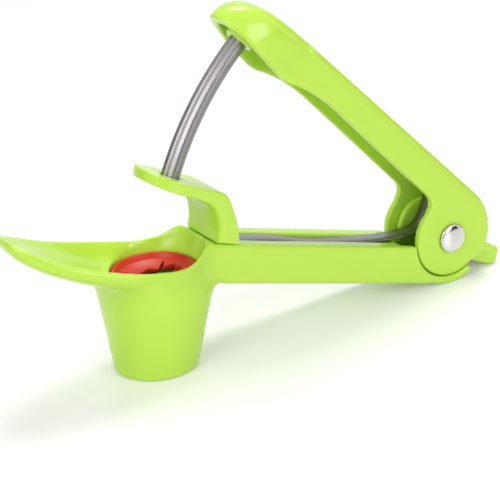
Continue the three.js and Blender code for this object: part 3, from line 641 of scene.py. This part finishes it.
def boxAcross(name, x0, x1, z0, z1, half):
    return slab(name, plain([(x0, z0), (x1, z0), (x1, z1), (x0, z1)]), half, 1)


def cupOutside():
    foot, flare, edge = cup["footRadius"], cup["flare"], cup["footEdge"]
    top = cup["ringHeight"] + cup["ledgeHeight"] + shared["fit"]
    low = top - cup["drawHeight"]
    rows = []
    steps, edgeSteps = 16, 6
    for i in range(edgeSteps + 1):
        a = math.pi / 2 * i / edgeSteps
        rows.append((edge * (1 - math.cos(a)), foot + flare * edge - edge * (1 - math.sin(a)), 0, 0))
    for i in range(steps + 1):
        height = low + cup["drawHeight"] * i / steps
        share = i / steps
        rows.append((height, foot + flare * height, 0, share * share * (3 - 2 * share)))
    return levelRings("cup_out", rows)


def cupInside():
    seat = cup["ringHeight"] - cup["ringDepth"] - cup["ledgeHeight"]
    inner = cup["footRadius"] - cup["wall"]
    high = seat - cup["shoulder"]
    return levelRings("cup_in", [
        (-1, inner, 0, 0), (0, inner, 0, 0), (high, inner + cup["flare"] * high, 0, 0),
        (seat, cup["ledgeRadius"], 0, 0), (seat + cup["ledgeHeight"], cup["ledgeRadius"], 0, 0)])


def ringBore():
    radius, high, dish = cup["ringRadius"] + shared["fit"], cup["ringHeight"], cup["dishHeight"]
    reach = cup["dishReach"]
    middle, top, over = cup["dishGrowth"]
    return levelRings("bore", [
        (high - cup["ringDepth"] - cup["seatGap"], radius, 0, 0), (high, radius, 0, 0),
        (high + dish / 2, radius + middle, reach / 2, 0), (high + dish, radius + top, reach, 0),
        (high + 3 * dish, radius + over, reach, 0)])


# Where shapes flow into each other: the cup under the tray, and the bowl above the ring
def joinZone(co):
    x = co.x * math.cos(barSlope) + co.z * math.sin(barSlope)
    z = co.z * math.cos(barSlope) - co.x * math.sin(barSlope)
    height = z - floorZ
    wallMiddle = cup["footRadius"] + cup["flare"] * height - cup["wall"] / 2
    if co.x > -lowerHandle["joinRear"]:
        return 0
    inBowl = abs(co.y) < trayHalf(-co.x) - lowerHandle["rimWidth"]
    if height > cup["ringHeight"] + lowerHandle["aboveRing"] and inBowl:
        fade = lowerHandle["bowlFade"]
        deep = min(max((lowerHandle["bowlEdge"] - co.z) / fade, 0), 1)
        rear = min(max((-co.x - lowerHandle["bowlRear"]) / fade, 0), 1)
        behind = lowerHandle["rearSoftness"] if co.x > -lowerHandle["rearWallEnd"] else 0
        return max(deep, behind) * rear
    if math.hypot(x - cupCentre(height), co.y) < wallMiddle:
        return 0
    low = min(max((height - lowerHandle["joinFrom"]) / lowerHandle["joinFade"], 0), 1)
    high = min(max((-co.z + lowerHandle["joinTop"]) / lowerHandle["joinFade"], 0), 1)
    return low * high


def makeLowerHandle():
    top, bottom = shared["barTop"], shared["barBottom"]
    seat = top - lowerHandle["springSeat"] - shared["fit"]
    channelHalf = lowerHandle["channelWidth"] / 2
    depth = lowerHandle["channelDepth"]
    pocket = lowerHandle["pocketLength"]
    recess = shared["cheekRadius"] + shared["runFit"]
    tongueLow = lowerHandle["tongueTop"] - lowerHandle["tongueThick"] - shared["fit"]
    over = top + lowerHandle["clear"]
    under = lowerHandle["pocketShare"] * recess
    pinHole = turnedAcross("pin_bore", shared["pinRadius"] + shared["fit"], -acrossReach, acrossReach)
    piece = barShape()
    join(piece, trayShape(), cupOutside())
    cut(piece, bowlShape(), ringBore(), cupInside(),
        boxAcross("channel", -lowerHandle["channelFront"], -pocket - 1, top - depth, over, channelHalf),
        boxAcross("seat", -lowerHandle["springFront"] - shared["fit"], -lowerHandle["seatRear"],
                  seat, over, channelHalf),
        boxAcross("pocket", -pocket, -under, top - lowerHandle["pocketDepth"], over,
                  lowerHandle["pocketHalf"]),
        boxAcross("slot", under, lowerHandle["slotRear"], tongueLow, 0,
                  lowerHandle["tongueHalf"] + shared["runFit"]))
    join(piece, earShape(-1), earShape(1))
    cut(piece, pinHole,
        screwBore(bracket["screwRadius"] + shared["fit"], bottom - 1, top + 1),
        screwBore(lowerHandle["headBore"], bottom - shared["fit"], bottom + lowerHandle["headSink"]),
        *pegShapes(bracket["pegRadius"] + shared["fit"]))
    mould(piece, lowerHandle["voxel"], lowerHandle["edgePasses"], joinZone, lowerHandle["joinPasses"])
    return finishPiece(piece, barFrame, "lower", "green_plastic", plastic, "lower_handle")


# Upper handle, in its own frame: an inverted channel with a rounded head and two cheeks
upperHandle = {
    "skin": 2.3,
    "backHeight": 16.2,
    "backTaper": 0.027,
    "backRound": 3.2,
    "wallEdge": 4.5,
    "wallEdgeAtHead": 0.6,
    "wallFallFrom": 62,
    "wallFallPower": 2.2,
    "notchFrom": 17,
    "edgeStep": 1.3,
    "backStep": 3.5,
    "hollowFrom": 80,
    "hollowStep": 8,
    "cheekRound": 0.9,
    "cheekEnd": 0.12,       # the cheek's arc stops this much short of a full turn
    "coverFoot": (1.6, 1.2, 1.6),   # behind the cheek, height, edge rounding
    "coverHeel": (0.9, 2.9, 2.6),   # ahead of the back, height, edge rounding
    "headStart": 84.0,
    "rearEnd": math.radians(15),
    "bossRadius": 4.5,
    "bossLow": 1.5,
    "keepers": (-13.8, -10.0),
    "keeperWall": 1.0,
    "keeperDepth": 1.9,
    "keeperHalf": 4.7,
    "keeperRoot": 0.2,
    "headSkinShare": 0.8,
    "voxel": 0.42,
    "edgePasses": 5,
}
# Distance from the hinge, half width, top, lower edge, squareness share
headRows = [
    (78.0, 9.55, 13.9, 3.0, 0.27), (84.0, 9.6, 13.9, 0.6, 0.28), (89.0, 9.9, 13.85, 0.5, 0.33),
    (94.0, 10.1, 13.75, 0.9, 0.41), (98.5, 9.9, 13.4, 1.3, 0.50), (102.3, 8.9, 12.6, 1.7, 0.58),
    (105.4, 7.5, 11.3, 1.9, 0.66), (107.8, 5.8, 9.5, 2.0, 0.72), (109.5, 4.1, 7.4, 2.0, 0.78),
    (110.6, 2.4, 5.2, 1.9, 0.82), (111.1, 1.1, 3.6, 1.8, 0.86),
]
# The notch ahead of each cheek: along, below the wall's edge, edge rounding
notchRows = [
    (-16.4, 0.1, 0.35), (-15.3, 0.35, 0.35), (-14.4, 0.8, 0.35), (-13.6, 1.45, 0.4),
    (-13.2, 2.3, 0.5),
]


def backAt(p):
    return upperHandle["backHeight"] - upperHandle["backTaper"] * max(p, 0)


def wallEdgeAt(p):
    start, high = upperHandle["wallFallFrom"], upperHandle["wallEdge"]
    share = min(max((p - start) / (upperHandle["headStart"] - start), 0), 1)
    return high - (high - upperHandle["wallEdgeAtHead"]) * share ** upperHandle["wallFallPower"]


def shellShape():
    back, edge, start = upperHandle["backHeight"], upperHandle["wallEdge"], upperHandle["headStart"] + 1
    cheek, rounding = shared["cheekRadius"], upperHandle["backRound"]
    outline = []
    p = start
    while p > upperHandle["notchFrom"]:
        outline.append((-p, wallEdgeAt(p), notchRows[0][2]))
        p -= upperHandle["edgeStep"]
    outline += [(x, edge - drop, soft) for x, drop, soft in notchRows]
    cheekArc = arc(cheek, math.pi, 2 * math.pi - upperHandle["cheekEnd"], 80)
    outline += [(x, z, upperHandle["cheekRound"]) for x, z in cheekArc]
    behind, height, soft = upperHandle["coverFoot"]
    outline.append((cheek + behind, height, soft))
    ahead, height, soft = upperHandle["coverHeel"]
    outline.append((back - ahead, height, soft))
    outline += [(x, z, rounding) for x, z in arc(back, upperHandle["rearEnd"], math.pi / 2, 40)]
    p = upperHandle["backStep"]
    while p < start:
        outline.append((-p, backAt(p), rounding))
        p += upperHandle["backStep"]
    outline.append((-start, backAt(start), rounding))
    return slab("upper_handle_body", outline, shared["halfWidth"], 8)


def headShape(name, rows, inset):
    rings = []
    steps = 48
    below = -16
    for p, half, top, edge, power in rows:
        wide, high = half - inset, top - inset - edge
        ring = []
        if inset:
            ring.append((-p, wide, below))
        for i in range(steps + 1):
            a = math.pi * i / steps
            across = math.copysign(abs(math.cos(a)) ** power, math.cos(a))
            ring.append((-p, wide * across, edge + high * abs(math.sin(a)) ** power))
        if inset:
            ring.append((-p, -wide, below))
        rings.append(ring)
    return loft(name, rings)


def shellHollow():
    skin, back = upperHandle["skin"], upperHandle["backHeight"]
    start, rear = upperHandle["headStart"] + 1, upperHandle["rearEnd"]
    out = back + 1
    outline = [(-start, backAt(start) - skin)]
    for p in range(upperHandle["hollowFrom"], -1, -upperHandle["hollowStep"]):
        outline.append((-p, backAt(p) - skin))
    outline += arc(back - skin, math.pi / 2, rear, 40)
    outline += [(out * math.cos(rear), out * math.sin(rear)), (out, -back), (-start, -back)]
    return slab("hollow", plain(outline), shared["halfWidth"] - shared["cheekWall"], 1)


# Ribs that keep the spring's upper end, ahead of it and behind it
def keeperShapes():
    half = upperHandle["keeperWall"] / 2
    roof = upperHandle["backHeight"] - upperHandle["skin"] + upperHandle["keeperRoot"]
    low = roof - upperHandle["keeperDepth"]
    for middle in upperHandle["keepers"]:
        yield boxAcross("keeper", middle - half, middle + half, low, roof, upperHandle["keeperHalf"])


def makeUpperHandle():
    skin = upperHandle["skin"]
    rows = finer(headRows, 6)
    deep = [(r[0] - upperHandle["headSkinShare"] * skin, *r[1:]) for r in rows if r[1] > 2 * skin]
    head = headShape("head", rows, 0)
    piece = shellShape()
    join(piece, headShape("head_copy", rows, 0))
    cut(piece, shellHollow(), headShape("head_hollow", deep, skin))
    low, radius, roof = upperHandle["bossLow"], upperHandle["bossRadius"], 16
    boss = turned("boss", [(0, low), (radius, low), (radius, roof), (0, roof)])
    boss.data.transform(Matrix.Translation((-rodSizes["arc"], 0, 0)))
    trim(boss, head)
    join(piece, boss, *keeperShapes())
    cut(piece, turnedAcross("pin_bore", shared["pinRadius"] + shared["fit"], -acrossReach, acrossReach))
    mould(piece, upperHandle["voxel"], upperHandle["edgePasses"])
    return finishPiece(piece, handleFrame, "upper", "green_plastic", plastic, "upper_handle")


# Plunger rod: an arc about the hinge with four flutes
rodSizes = {
    "arc": 99.6,
    "radius": 2.95,
    "fluteShare": 0.14,
    "flutePower": 3,
    "low": math.radians(7.0),
    "socket": 8.0,
}


def rodRings(start, end, steps, gap=0.0, segments=96):
    rings = []
    for i in range(steps + 1):
        a = start + (end - start) * i / steps
        ring = []
        for k in range(segments):
            t = 2 * math.pi * k / segments
            flute = rodSizes["fluteShare"] * abs(math.sin(2 * t)) ** rodSizes["flutePower"]
            r = rodSizes["radius"] * (1 - flute) + gap
            reach = rodSizes["arc"] + r * math.cos(t)
            ring.append((-reach * math.cos(a), r * math.sin(t), reach * math.sin(a)))
        rings.append(ring)
    return rings


# Each point's place as if the rod were straight: across, across, along
def straighten(piece):
    places = []
    for vertex in piece.data.vertices:
        x, y, z = vertex.co
        places += [math.hypot(x, z) - rodSizes["arc"], y, math.atan2(z, -x) * rodSizes["arc"]]
    attribute = piece.data.attributes.new("straightened", "FLOAT_VECTOR", "POINT")
    attribute.data.foreach_set("vector", [value * mm for value in places])


def makeRod():
    high = (upperHandle["bossLow"] + rodSizes["socket"]) / rodSizes["arc"]
    piece = loft("plunger_rod_body", rodRings(rodSizes["low"] - openAngle, high, 120))
    straighten(piece)
    return finishPiece(piece, handleFrame, "upper", "rod_steel", rodSteel, "plunger_rod")


# Guide bracket, in the bar's frame
bracket = {
    "inner": 84.8,
    "frontX": 99.8,
    "baseGap": 0.12,
    "pegRadius": 1.3,
    "pegDepth": 2.6,
    "pegHeight": 5,
    "pegInset": 3.4,
    "columnEnds": (-10, 30),
    "screwX": -81.1,
    "screwRadius": 1.4,
    "screwReach": 6.0,
    "guideSweep": math.radians(4.6),
    "voxel": 0.26,
    "edgePasses": 4,
}
# Ahead of the inner face, up from the bar, edge rounding: the face towards the cherry, then the back
bracketFace = [
    (0.0, 0.0, 1.5), (0.2, 3.4, 1.5), (1.1, 6.8, 1.5), (2.4, 9.2, 1.5), (4.6, 11.2, 1.2),
    (8.2, 12.6, 0.8), (14.2, 13.9, 0.4), (19.8, 15.1, 0.4), (26.4, 16.9, 0.4),
]
bracketBack = [
    (26.9, 20.1, 0.4), (19.6, 18.3, 0.4), (13.6, 17.2, 0.4), (7.2, 16.1, 0.4), (1.4, 15.2, 0.4),
    (-0.3, 14.5, 0.4), (-1.7, 12.9, 0.4), (-4.0, 9.0, 0.4), (-6.1, 4.6, 0.4), (-7.4, 0.0, 0.4),
]


def pegShapes(radius):
    offset = shared["halfWidth"] - bracket["pegInset"]
    for side in (-1, 1):
        low = shared["barTop"] - bracket["pegDepth"]
        high = low + bracket["pegHeight"]
        peg = turned("peg", [(0, low), (radius, low), (radius, high), (0, high)], segments=48)
        peg.data.transform(Matrix.Translation((bracket["screwX"], side * offset, 0)))
        yield peg


def screwBore(radius, low, high):
    bore = turned("screw_bore", [(0, low), (radius, low), (radius, high), (0, high)], segments=64)
    bore.data.transform(Matrix.Translation((bracket["screwX"], 0, 0)))
    return bore


def makeBracket():
    base, inner, half = shared["barTop"] + bracket["baseGap"], -bracket["inner"], shared["halfWidth"]
    rows = finer(bracketFace, 6) + finer(bracketBack, 6)
    piece = slab("guide_bracket_body", [(inner - x, base + z, edge) for x, z, edge in rows], half)
    plan = arc(half, math.pi / 2, 1.5 * math.pi, 60, -bracket["frontX"], 0)
    plan += [(0, -half - 1), (0, half + 1)]
    trim(piece, loft("column", [[(x, y, z) for x, y in plan] for z in bracket["columnEnds"]]))
    join(piece, *pegShapes(bracket["pegRadius"]))
    low, sweep = rodSizes["low"], bracket["guideSweep"]
    cut(piece, loft("guide", rodRings(low - sweep, low + sweep, 12, shared["runFit"])),
        screwBore(bracket["screwRadius"] + shared["fit"], base - 1, base + bracket["screwReach"]))
    mould(piece, bracket["voxel"], bracket["edgePasses"])
    return finishPiece(piece, barFrame, "lower", "green_plastic", plastic, "guide_bracket")


makeLowerHandle()
makeUpperHandle()
makeRod()
makeBracket()

# Rubber ring, level, about the middle of its seat: a funnel with an oval mouth, slit into flaps
rubberRing = {
    "slits": (45, 135, 225, 315),  # degrees from the hinge's side
    "slitWidth": 0.45,
    "slitReach": 9.6,
    "mouth": (7.0, 3.7),       # half length and half width
    "lipHeight": 2.1,
    "lipWidth": 1.9,
    "gape": 0.9,               # the slits gape a little at the mouth
    "curlPower": 1.5,          # how the lip rises towards the mouth, and along each flap
    "middlePower": 0.5,
    "cutEnds": (-3, 6),
    "sectionStep": 0.4,
    "voxel": 0.18,
    "edgePasses": 4,
}
# Radius and height round the funnel's section
ringSection = [
    (11.9, 4.6), (12.3, 4.45), (12.5, 4.1), (12.5, 0.3), (10.6, 0.3), (10.4, 1.66), (8.0, 0.87),
    (5.0, 0.28), (3.75, 0.18), (3.75, 1.2), (5.0, 1.38), (8.0, 2.07), (10.4, 3.04),
    (11.1, 4.09), (11.3, 4.5), (11.6, 4.62), (11.9, 4.6),
]


# The flaps' edges turn up round the mouth, highest in the middle of each flap
def curlFlaps(piece):
    long, wide = rubberRing["mouth"]
    for vertex in piece.data.vertices:
        x, y = vertex.co.x, vertex.co.y
        radius = math.hypot(x, y)
        edge = radius / max(math.hypot(x / long, y / wide), 0.01)   # where the mouth is, this way
        share = 1 - (radius - edge) / rubberRing["lipWidth"]
        if share > 0:
            middle = abs(math.cos(2 * math.atan2(y, x))) ** rubberRing["middlePower"]
            vertex.co.z += rubberRing["lipHeight"] * min(share, 1) ** rubberRing["curlPower"] * middle


def makeRing():
    rows = []
    for (r0, z0), (r1, z1) in zip(ringSection, ringSection[1:]):
        pieces = max(1, round(math.hypot(r1 - r0, z1 - z0) / rubberRing["sectionStep"]))
        for k in range(pieces):
            rows.append((r0 + (r1 - r0) * k / pieces, z0 + (z1 - z0) * k / pieces))
    piece = turned("pit_gasket_body", rows + [ringSection[0]], segments=240)
    curlFlaps(piece)
    tools = []
    ends = rubberRing["cutEnds"]
    half, gape, reach = rubberRing["slitWidth"] / 2, rubberRing["gape"], rubberRing["slitReach"]
    for turn in rubberRing["slits"]:
        plan = [(0, -half - gape), (reach, -half), (reach, half), (0, half + gape)]
        slit = loft("slit", [[(x, y, z) for x, y in plan] for z in ends])
        slit.data.transform(Matrix.Rotation(math.radians(turn), 4, "Z"))
        tools.append(slit)
    long, wide = rubberRing["mouth"]
    steps = 96
    turns = [2 * math.pi * i / steps for i in range(steps)]
    mouth = [(long * math.cos(a), wide * math.sin(a)) for a in turns]
    tools.append(loft("mouth", [[(x, y, z) for x, y in mouth] for z in ends]))
    cut(piece, *tools)
    seat = floorZ + cup["ringHeight"] - cup["ringDepth"]
    piece.data.transform(levelInBar @ Matrix.Translation((cup["topX"], 0, seat)))
    cut(piece, loft("way", rodRings(-openAngle, rodSizes["low"], 40, shared["runFit"])))
    mould(piece, rubberRing["voxel"], rubberRing["edgePasses"])
    return finishPiece(piece, barFrame, "lower", "red_rubber", rubber, "pit_gasket")


makeRing()

# Leaf spring, in the bar's frame: screwed down at the front, bent up round the hinge pin
leafSpring = {
    "thick": 0.8,
    "halfWidth": 3.1,
    "edge": 0.12,
    "hole": 1.7,
    "holeEnds": (-8, 0),
    "bendFrom": (-24.0, -4.0),     # it starts to follow the upper handle here
}
# Middle of the strip: distance from the hinge and height
springRows = [
    (-83.6, -4.2), (-75.4, -4.2), (-62.0, -3.9), (-46.0, -4.6), (-30.0, -4.0), (-19.0, -3.0),
    (-11.0, -1.3), (-6.52, 0.8), (-4.84, 3.8), (-4.07, 7.8), (-3.36, 17.18),
]


def makeSpring():
    path = finer(springRows, 10)
    half, thick, edge = leafSpring["halfWidth"], leafSpring["thick"] / 2, leafSpring["edge"]
    wide, flat = half - edge, thick - edge
    section = [(wide, thick), (half, flat), (half, -flat), (wide, -thick),
               (-wide, -thick), (-half, -flat), (-half, flat), (-wide, thick)]
    rings = []
    for i, (x, z) in enumerate(path):
        before, after = path[max(i - 1, 0)], path[min(i + 1, len(path) - 1)]
        along = Vector((after[0] - before[0], after[1] - before[1])).normalized()
        rings.append([(x - along.y * up, side, z + along.x * up) for side, up in section])
    piece = loft("leaf_spring_body", rings)
    cut(piece, screwBore(leafSpring["hole"], *leafSpring["holeEnds"]))
    place(piece, barFrame)
    piece.data.materials.clear()
    piece.data.materials.append(stripSteel)
    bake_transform(piece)
    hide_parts("leaf_spring")
    print("made", piece.name, len(piece.data.polygons), "faces")


makeSpring()

# Hinge pin with its domed head on the near cheek, and the cap that closes it on the far one
pin = {
    "radius": 2.6,
    "headRadius": 4.6,
    "rim": 0.5,
    "dome": 1.2,
    "length": 19.5,
    "stub": 1.4,
    "stubLength": 5.0,
    "socketGap": 0.3,
}


def domedHead(steps=20):
    turns = [math.pi / 2 * i / steps for i in range(steps)]
    head = [(pin["headRadius"] * math.cos(a), pin["rim"] + pin["dome"] * math.sin(a)) for a in turns]
    return [(pin["headRadius"], 0)] + head + [(0, pin["rim"] + pin["dome"])]


def makePin():
    length, socket = pin["length"], pin["stub"] + pin["socketGap"]
    deep = pin["stubLength"] + pin["socketGap"]
    out = shared["halfWidth"] + shared["fit"]
    shank = [(0, deep - length), (socket, deep - length), (socket, -length),
             (pin["radius"], -length), (pin["radius"], 0)]
    piece = turned("hinge_pin_body", shank + domedHead(), segments=128)
    near = Matrix.Translation((0, -out, 0)) @ Matrix.Rotation(math.pi / 2, 4, "X")
    finishPiece(piece, barFrame, "upper", "polished_steel", polished, "hinge_pin", turn=near)
    stub = [(0, -pin["stubLength"]), (pin["stub"], -pin["stubLength"]), (pin["stub"], 0)]
    piece = turned("hinge_pin_cap_body", stub + domedHead(), segments=128)
    far = Matrix.Translation((0, out, 0)) @ Matrix.Rotation(-math.pi / 2, 4, "X")
    finishPiece(piece, barFrame, "upper", "polished_steel", polished, "hinge_pin_cap", turn=far)


makePin()

# Lock tab, in the bar's frame: a tongue between the ears with a flared end for the thumb
lockTab = {
    "nose": -2.0,
    "root": 12.8,
    "top": -7.3,
    "thick": 2.3,
    "tongueHalf": 4.2,
    "tabHalf": 6.6,
    "voxel": 0.24,
    "edgePasses": 4,
}
# Behind the root, up from the tongue's underside, edge rounding
tabRows = [
    (0.0, 1.4, 0.4), (4.0, 0.7, 0.45), (8.0, 0.25, 0.5), (9.7, 0.7, 0.6), (10.4, 2.0, 0.8),
    (10.4, 4.6, 0.9), (9.9, 5.7, 0.9), (8.9, 6.0, 0.9), (6.2, 4.9, 0.9), (3.0, 4.1, 0.7),
    (0.0, 3.6, 0.5),
]


def makeTab():
    low, top = lockTab["top"] - lockTab["thick"], lockTab["top"]
    root = lockTab["root"]
    piece = boxAcross("lock_tab_body", lockTab["nose"], root + 1, low, top, lockTab["tongueHalf"])
    flare = [(root + x, low + z, edge) for x, z, edge in finer(tabRows, 4)]
    join(piece, slab("flare", flare, lockTab["tabHalf"]))
    mould(piece, lockTab["voxel"], lockTab["edgePasses"])
    return finishPiece(piece, barFrame, "lock", "green_plastic", plastic, "lock_tab")


makeTab()

for name in ("bracket_screw", "rod_cross_pin"):
    node = frame["nodes"][name]
    node.data.materials.clear()
    node.data.materials.append(stripSteel)


# Camera at the photo's place, in metres
camera = {
    "place": (-0.25173, -0.42938, 0.23362),
    "right": (0.85070, -0.52130, -0.06755),
    "up": (0.25257, 0.29265, 0.92226),
    "lens": 130.86,
    "sensor": 36,
    "clip": (0.01, 20),
}


def makeCamera():
    data = bpy.data.cameras.new("camera")
    data.sensor_width = camera["sensor"]
    data.lens = camera["lens"]
    data.clip_start, data.clip_end = camera["clip"]
    view = bpy.data.objects.new("camera", data)
    scene.collection.objects.link(view)
    right, up = Vector(camera["right"]), Vector(camera["up"])
    back = right.cross(up)
    axes = Matrix((right, up, back)).transposed().to_4x4()
    view.matrix_world = Matrix.Translation(camera["place"]) @ axes
    scene.camera = view


stage = {
    "floorHalf": 3.0,
    "floorColour": (0.86, 0.86, 0.86),
    "floorRoughness": 0.35,
    "floorShine": 0.5,
    "glow": 0.17,           # added where the camera sees the floor, so that it reads as white
    "worldLevel": 0.42,     # what the surroundings give to the object
}


# 1 where the camera, a reflection or a see-through surface looks, else 0
def seenDirectly(nodes, links):
    path = nodes.new("ShaderNodeLightPath")
    seen = path.outputs["Is Camera Ray"]
    for ray in ("Is Glossy Ray", "Is Transmission Ray"):
        both = nodes.new("ShaderNodeMath")
        both.operation = "MAXIMUM"
        links.new(seen, both.inputs[0])
        links.new(path.outputs[ray], both.inputs[1])
        seen = both.outputs["Value"]
    return seen


def makeStage():
    half = stage["floorHalf"]
    corners = [(-half, -half, 0), (half, -half, 0), (half, half, 0), (-half, half, 0)]
    floor = meshObject("floor", corners, [(0, 1, 2, 3)])
    material, nodes, links, shader, _ = startMaterial("paleFloor")
    shader.inputs["Base Color"].default_value = (*stage["floorColour"], 1)
    shader.inputs["Roughness"].default_value = stage["floorRoughness"]
    shader.inputs["Specular IOR Level"].default_value = stage["floorShine"]
    glow = nodes.new("ShaderNodeMath")
    glow.operation = "MULTIPLY"
    glow.inputs[1].default_value = stage["glow"]
    links.new(seenDirectly(nodes, links), glow.inputs[0])
    shader.inputs["Emission Color"].default_value = (1, 1, 1, 1)
    links.new(glow.outputs["Value"], shader.inputs["Emission Strength"])
    floor.data.materials.append(material)


def makeWorld():
    world = bpy.data.worlds.new("studio")
    scene.world = world
    world.use_nodes = True
    nodes, links = world.node_tree.nodes, world.node_tree.links
    background = nodes["Background"]
    background.inputs["Color"].default_value = (1, 1, 1, 1)
    level = nodes.new("ShaderNodeMapRange")
    level.inputs["To Min"].default_value = stage["worldLevel"]
    level.inputs["To Max"].default_value = 1
    links.new(seenDirectly(nodes, links), level.inputs["Value"])
    links.new(level.outputs["Result"], background.inputs["Strength"])


lamps = [
    {"name": "key", "place": (0.19, -0.80, 0.38), "aim": (0, 0, 0.04), "size": 0.40, "power": 2.5},
    {"name": "fill", "place": (-0.78, -0.36, 0.55), "aim": (0, 0, 0.04), "size": 0.5, "power": 3.6},
    {"name": "top", "place": (0.21, 0.19, 0.82), "aim": (0, 0, 0.04), "size": 0.34, "power": 3.4},
]
# Dark cards beside the set: only reflections see them, and steel gets its contrast from them
cardAim = (0, 0, 0.05)
cardColour = (0.01, 0.01, 0.01)
cards = [
    {"name": "camera card", "place": (-0.38, -0.66, 0.24), "size": (0.34, 0.55)},
    {"name": "right card", "place": (0.53, -0.70, 0.22), "size": (0.50, 0.36)},
    {"name": "far right card", "place": (0.85, 0.10, 0.30), "size": (0.5, 0.6)},
    {"name": "far left card", "place": (-0.72, 0.45, 0.30), "size": (0.5, 0.6)},
]


def aimed(thing, place, aim):
    thing.location = place
    thing.rotation_euler = (Vector(aim) - Vector(place)).to_track_quat("-Z", "Y").to_euler()


def makeLamps():
    for lamp in lamps:
        data = bpy.data.lights.new(lamp["name"], "AREA")
        data.size = lamp["size"]
        data.energy = lamp["power"]
        light = bpy.data.objects.new(lamp["name"], data)
        scene.collection.objects.link(light)
        aimed(light, lamp["place"], lamp["aim"])


def makeCards():
    material, _, _, shader, _ = startMaterial("darkCard")
    shader.inputs["Base Color"].default_value = (*cardColour, 1)
    shader.inputs["Roughness"].default_value = 1
    for row in cards:
        x, y = row["size"][0] / 2, row["size"][1] / 2
        corners = [(-x, -y, 0), (x, -y, 0), (x, y, 0), (-x, y, 0)]
        card = meshObject(row["name"], corners, [(0, 1, 2, 3)])
        card.data.materials.append(material)
        aimed(card, row["place"], cardAim)
        card.visible_camera = card.visible_diffuse = False
        card.visible_shadow = card.visible_transmission = False


makeCamera()
makeStage()
makeWorld()
makeLamps()
makeCards()
scene.view_settings.view_transform = "Standard"
print("stage ready")
